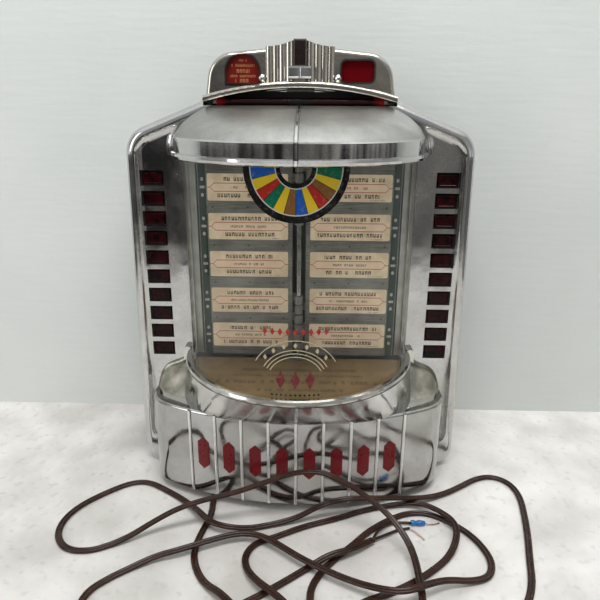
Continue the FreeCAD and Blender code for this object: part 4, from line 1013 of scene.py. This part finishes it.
KEY = key_tree()
# Tinted acrylic: deep red, darker in its body, with a moulded swirl and a polished skin.
KEY_RED = mottled("key_red", (0.003, 0.0005, 0.0007), (0.03, 0.0015, 0.003), (0.16, 3.0, 0.35, 0.7),
                  grain=(0.35, 2.0, 0.12, 0.2 * MM), Roughness=0.2, Specular_IOR_Level=0.14, IOR=1.49,
                  Coat_Weight=0.05, Coat_Roughness=0.08)
for side in ("left", "right"):
    for row in range(1, 11):
        name = "key_%s_%02d" % (side, row)
        low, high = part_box(name)
        seat = ((low.x + high.x) / 2, low.y + KEY_DEPTH, (low.z + high.z) / 2)
        mesh = grow(KEY, name + "_cap", Place=seat, Material=KEY_RED, **KEY_SIZES)
        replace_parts(finish_mesh(mesh, name + "_body"), name)
print("keys grown: 20,", len(mesh.polygons), "faces each")

# %% [markdown]
# ## Print on the glass
# The inside of the window carries bright screen print: a half disc of rays at the top and a
# small arch below. Print follows the bent sheet, so each patch is drawn flat, in millimetres
# across and up, and every point is then wrapped round the window's axis.

# %% Screen print
PRINT_R = 104.2               # radius of the print, all in millimetres
DISC, ARCH = (0.0, 326.0), (0, 148)
RAY_FROM, RAY_TO = 16.2, 35.6
DISC_RINGS = ((36.5, 42.0, "black", 36), (35.6, 36.5, "white", 36), (15.4, 16.2, "white", 24),
              (12.0, 15.4, "black", 24))
RAYS = "blue yellow red green yellow brown blue yellow red brown yellow green".split()
LOZENGE_ROWS = ((9, 6.4, 194.5, 2.1, 3.4, "red"), (3, 12.5, 151, 4.2, 8.5, "maroon"),
                (11, 4.0, 137, 1.2, 1.3, "black"))
INKS = {"black": (0.006, 0.006, 0.007), "white": (0.55, 0.55, 0.52), "red": (0.4, 0.02, 0.015),
        "yellow": (0.68, 0.48, 0.02), "green": (0.0, 0.14, 0.08), "blue": (0.01, 0.09, 0.42),
        "brown": (0.2, 0.09, 0.025), "cream": (0.56, 0.49, 0.33), "maroon": (0.16, 0.012, 0.015)}


def on_glass(x, z):
    angle = x / PRINT_R
    return Vector((PRINT_R * math.sin(angle) * MM, FACE * MM - PRINT_R * math.cos(angle) * MM, z * MM))


def ring_patches(centre, inner, outer, start, end, colour, steps):
    """Quads of a ring sector; angles in degrees, 0 to the right and 90 up."""
    patches = []
    for i in range(steps):
        a, b = (math.radians(start + (end - start) * k / steps) for k in (i, i + 1))
        corners = [(outer, a), (outer, b), (inner, b), (inner, a)]
        points = [(centre[0] + r * math.cos(t), centre[1] + r * math.sin(t)) for r, t in corners]
        patches.append((points, colour))
    return patches


def lozenge(x, z, half_width, half_height, colour):
    return [(x + half_width, z), (x, z + half_height), (x - half_width, z), (x, z - half_height)], colour


def sunburst():
    patches = []
    for inner, outer, colour, steps in DISC_RINGS:
        patches += ring_patches(DISC, inner, outer, 180, 360, colour, steps)
    for i, colour in enumerate(RAYS):
        start = 180 + 15 * i
        patches += ring_patches(DISC, RAY_FROM, RAY_TO, start + 0.5, start + 14.5, colour, 4)
        patches += ring_patches(DISC, RAY_FROM, RAY_TO, start + 14.5, start + 15.5, "black", 1)
    return patches


def arch_emblem():
    patches = []
    for radius in (24.0, 27.0, 30.0, 38.5):
        patches += ring_patches(ARCH, radius, radius + 0.8, 28, 152, "cream", 24)
    for i in range(7):
        angle = math.radians(42 + 16 * i)
        patches.append(lozenge(34.6 * math.cos(angle), ARCH[1] + 34.6 * math.sin(angle), 1.7, 2.6, "cream"))
    for count, pitch, *rest in LOZENGE_ROWS:
        patches += [lozenge((i - (count - 1) / 2) * pitch, *rest) for i in range(count)]
    return patches


def printed(name, patches):
    """Mesh of patches wrapped round the window, each with its ink kept as a colour attribute."""
    verts = [on_glass(x, z) for corners, _ in patches for x, z in corners]
    mesh = mesh_of(name, verts, [(i + 3, i + 2, i + 1, i) for i in range(0, len(verts), 4)])
    layer = mesh.color_attributes.new("ink", "FLOAT_COLOR", "CORNER")
    for face, (_, colour) in zip(mesh.polygons, patches):
        for corner in face.loop_indices:
            layer.data[corner].color = (*INKS[colour], 1.0)
    return mesh


def screen_ink():
    material, shader, place = finish("screen_ink", Roughness=0.4, Specular_IOR_Level=0.1)
    ink = add(material.node_tree, "Attribute", out="Color", attribute_name="ink")
    paint(shader, cloud(place, 0.35, 5.0, 0.55, 0.8) * 0.35, ink, (0.3, 0.28, 0.24))
    return material


glass_print = finish_mesh(printed("glass_print", sunburst() + arch_emblem()), "casing",
                          screen_ink())
print("print patches:", len(glass_print.data.polygons))

# %% [markdown]
# ## Cards of the shelf and the crown
# The half-round shelf under the leaves is a gold card with faint lines of type, and the crown
# has a red card behind each window, of which one is printed. The type is made as on the title
# cards, but read in Object coordinates, since these cards are flat and never move.

# %% Shelf and crown cards
def typed_card(name, paper, ink, rows, axes, middle=0.0, strength=0.5, gloss=0.45):
    """Card with lines of type; axes number the object axes that run along and across the lines.

    A row is its place across, half the height and half the length of its line, and its pitch.
    """
    material, shader, place = finish(name, Roughness=gloss, Specular_IOR_Level=0.2)
    parts = split(place)
    along, across = (parts[a] for a in axes)
    stock = blend(cloud(place, 0.06, 5.0, 0.35, 0.7), shade(paper, 0.7), paper)
    lines = [type_line(along, across, 0.5, level, half_height, reach, 1.0 / pitch, 1.0, middle)
             for level, half_height, reach, pitch in rows]
    paint(shader, reduce(Sum.high, lines) * strength, stock, ink)
    emboss(shader, noise(place, 0.6, 4.0), 0.1, 0.06 * MM)
    return material


SHELF_ROWS = [(FACE - 29, 2.6, 58.0, 3.6), (FACE - 41, 2.2, 62.0, 3.6), (FACE - 55, 3.2, 76.0, 4.2),
              (FACE - 71, 2.2, 50.0, 3.6)]
ARCH_ROWS = [(408.5, 0.9, 3.5, 1.8), (404.2, 1.0, 10.4, 1.8), (399.6, 1.5, 5.8, 2.7),
             (395.4, 1.0, 11.5, 1.8), (391.6, 1.5, 6.9, 2.7)]
SHELF = typed_card("gold_card", (0.23, 0.155, 0.07), (0.06, 0.04, 0.022), SHELF_ROWS, (0, 1),
                   strength=0.85, gloss=0.35)
CARD_ORANGE = typed_card("card_orange", (0.19, 0.010, 0.005), (0.55, 0.26, 0.12), ARCH_ROWS, (0, 2),
                         middle=ARCHED[0], strength=0.62)
CARD_RED = painted("card_deep_red", (0.14, 0.001, 0.004), 0.5, specular=0.05)
print("cards ready")

# %% [markdown]
# ## Dressing the CAD nodes
# A node whose shape is right keeps it and is given its finish here, by name. The nodes that a
# grown piece stands for are hidden, and are left out of this list.

# %% Finish of each node
FINISHES = {
    "front_frame": CHROME, "console": CHROME_CONSOLE, "hood": CHROME_HOOD, "crown": CHROME_CROWN,
    "window_rim": CHROME_RIM, "coin_return_button": CHROME, "crown_screws": CHROME_SATIN,
    "rear_casing": GREY_ENAMEL, "back_plate": GREY_ENAMEL, "back_screws": ZINC, "key_guides": BLACK,
    "contact_rails": LAMINATE, "contact_blades": BRONZE, "window_lens": ACRYLIC, "lens_channels": CHANNEL,
    "lamp_tube": LAMP, "lamp_holders": WHITE, "bay_inlays": RED_ENAMEL, "cash_box": ZINC,
    "program_shelf": SHELF, "leaf_right": LEAF, "leaf_left": LEAF, "back_leaves": LEAF, "book_panel": GREEN,
    "book_spindle": SPINDLE, "card_arched": CARD_ORANGE, "card_square": CARD_RED, "coin_chute": ZINC,
    "light_trough": BLACK_ENAMEL, "light_rod": RED_ROD, "light_rod_caps": CHROME_SATIN,
    "coin_mechanism": ZINC, "cord_gland": GLAND,
}
for name, material in FINISHES.items():
    for slot in NODES[name].material_slots:
        slot.material = material
shown = [n for n in NODES if n not in FINISHES and not NODES[n].hide_render]
print("nodes dressed:", len(FINISHES), "left bare:", shown)
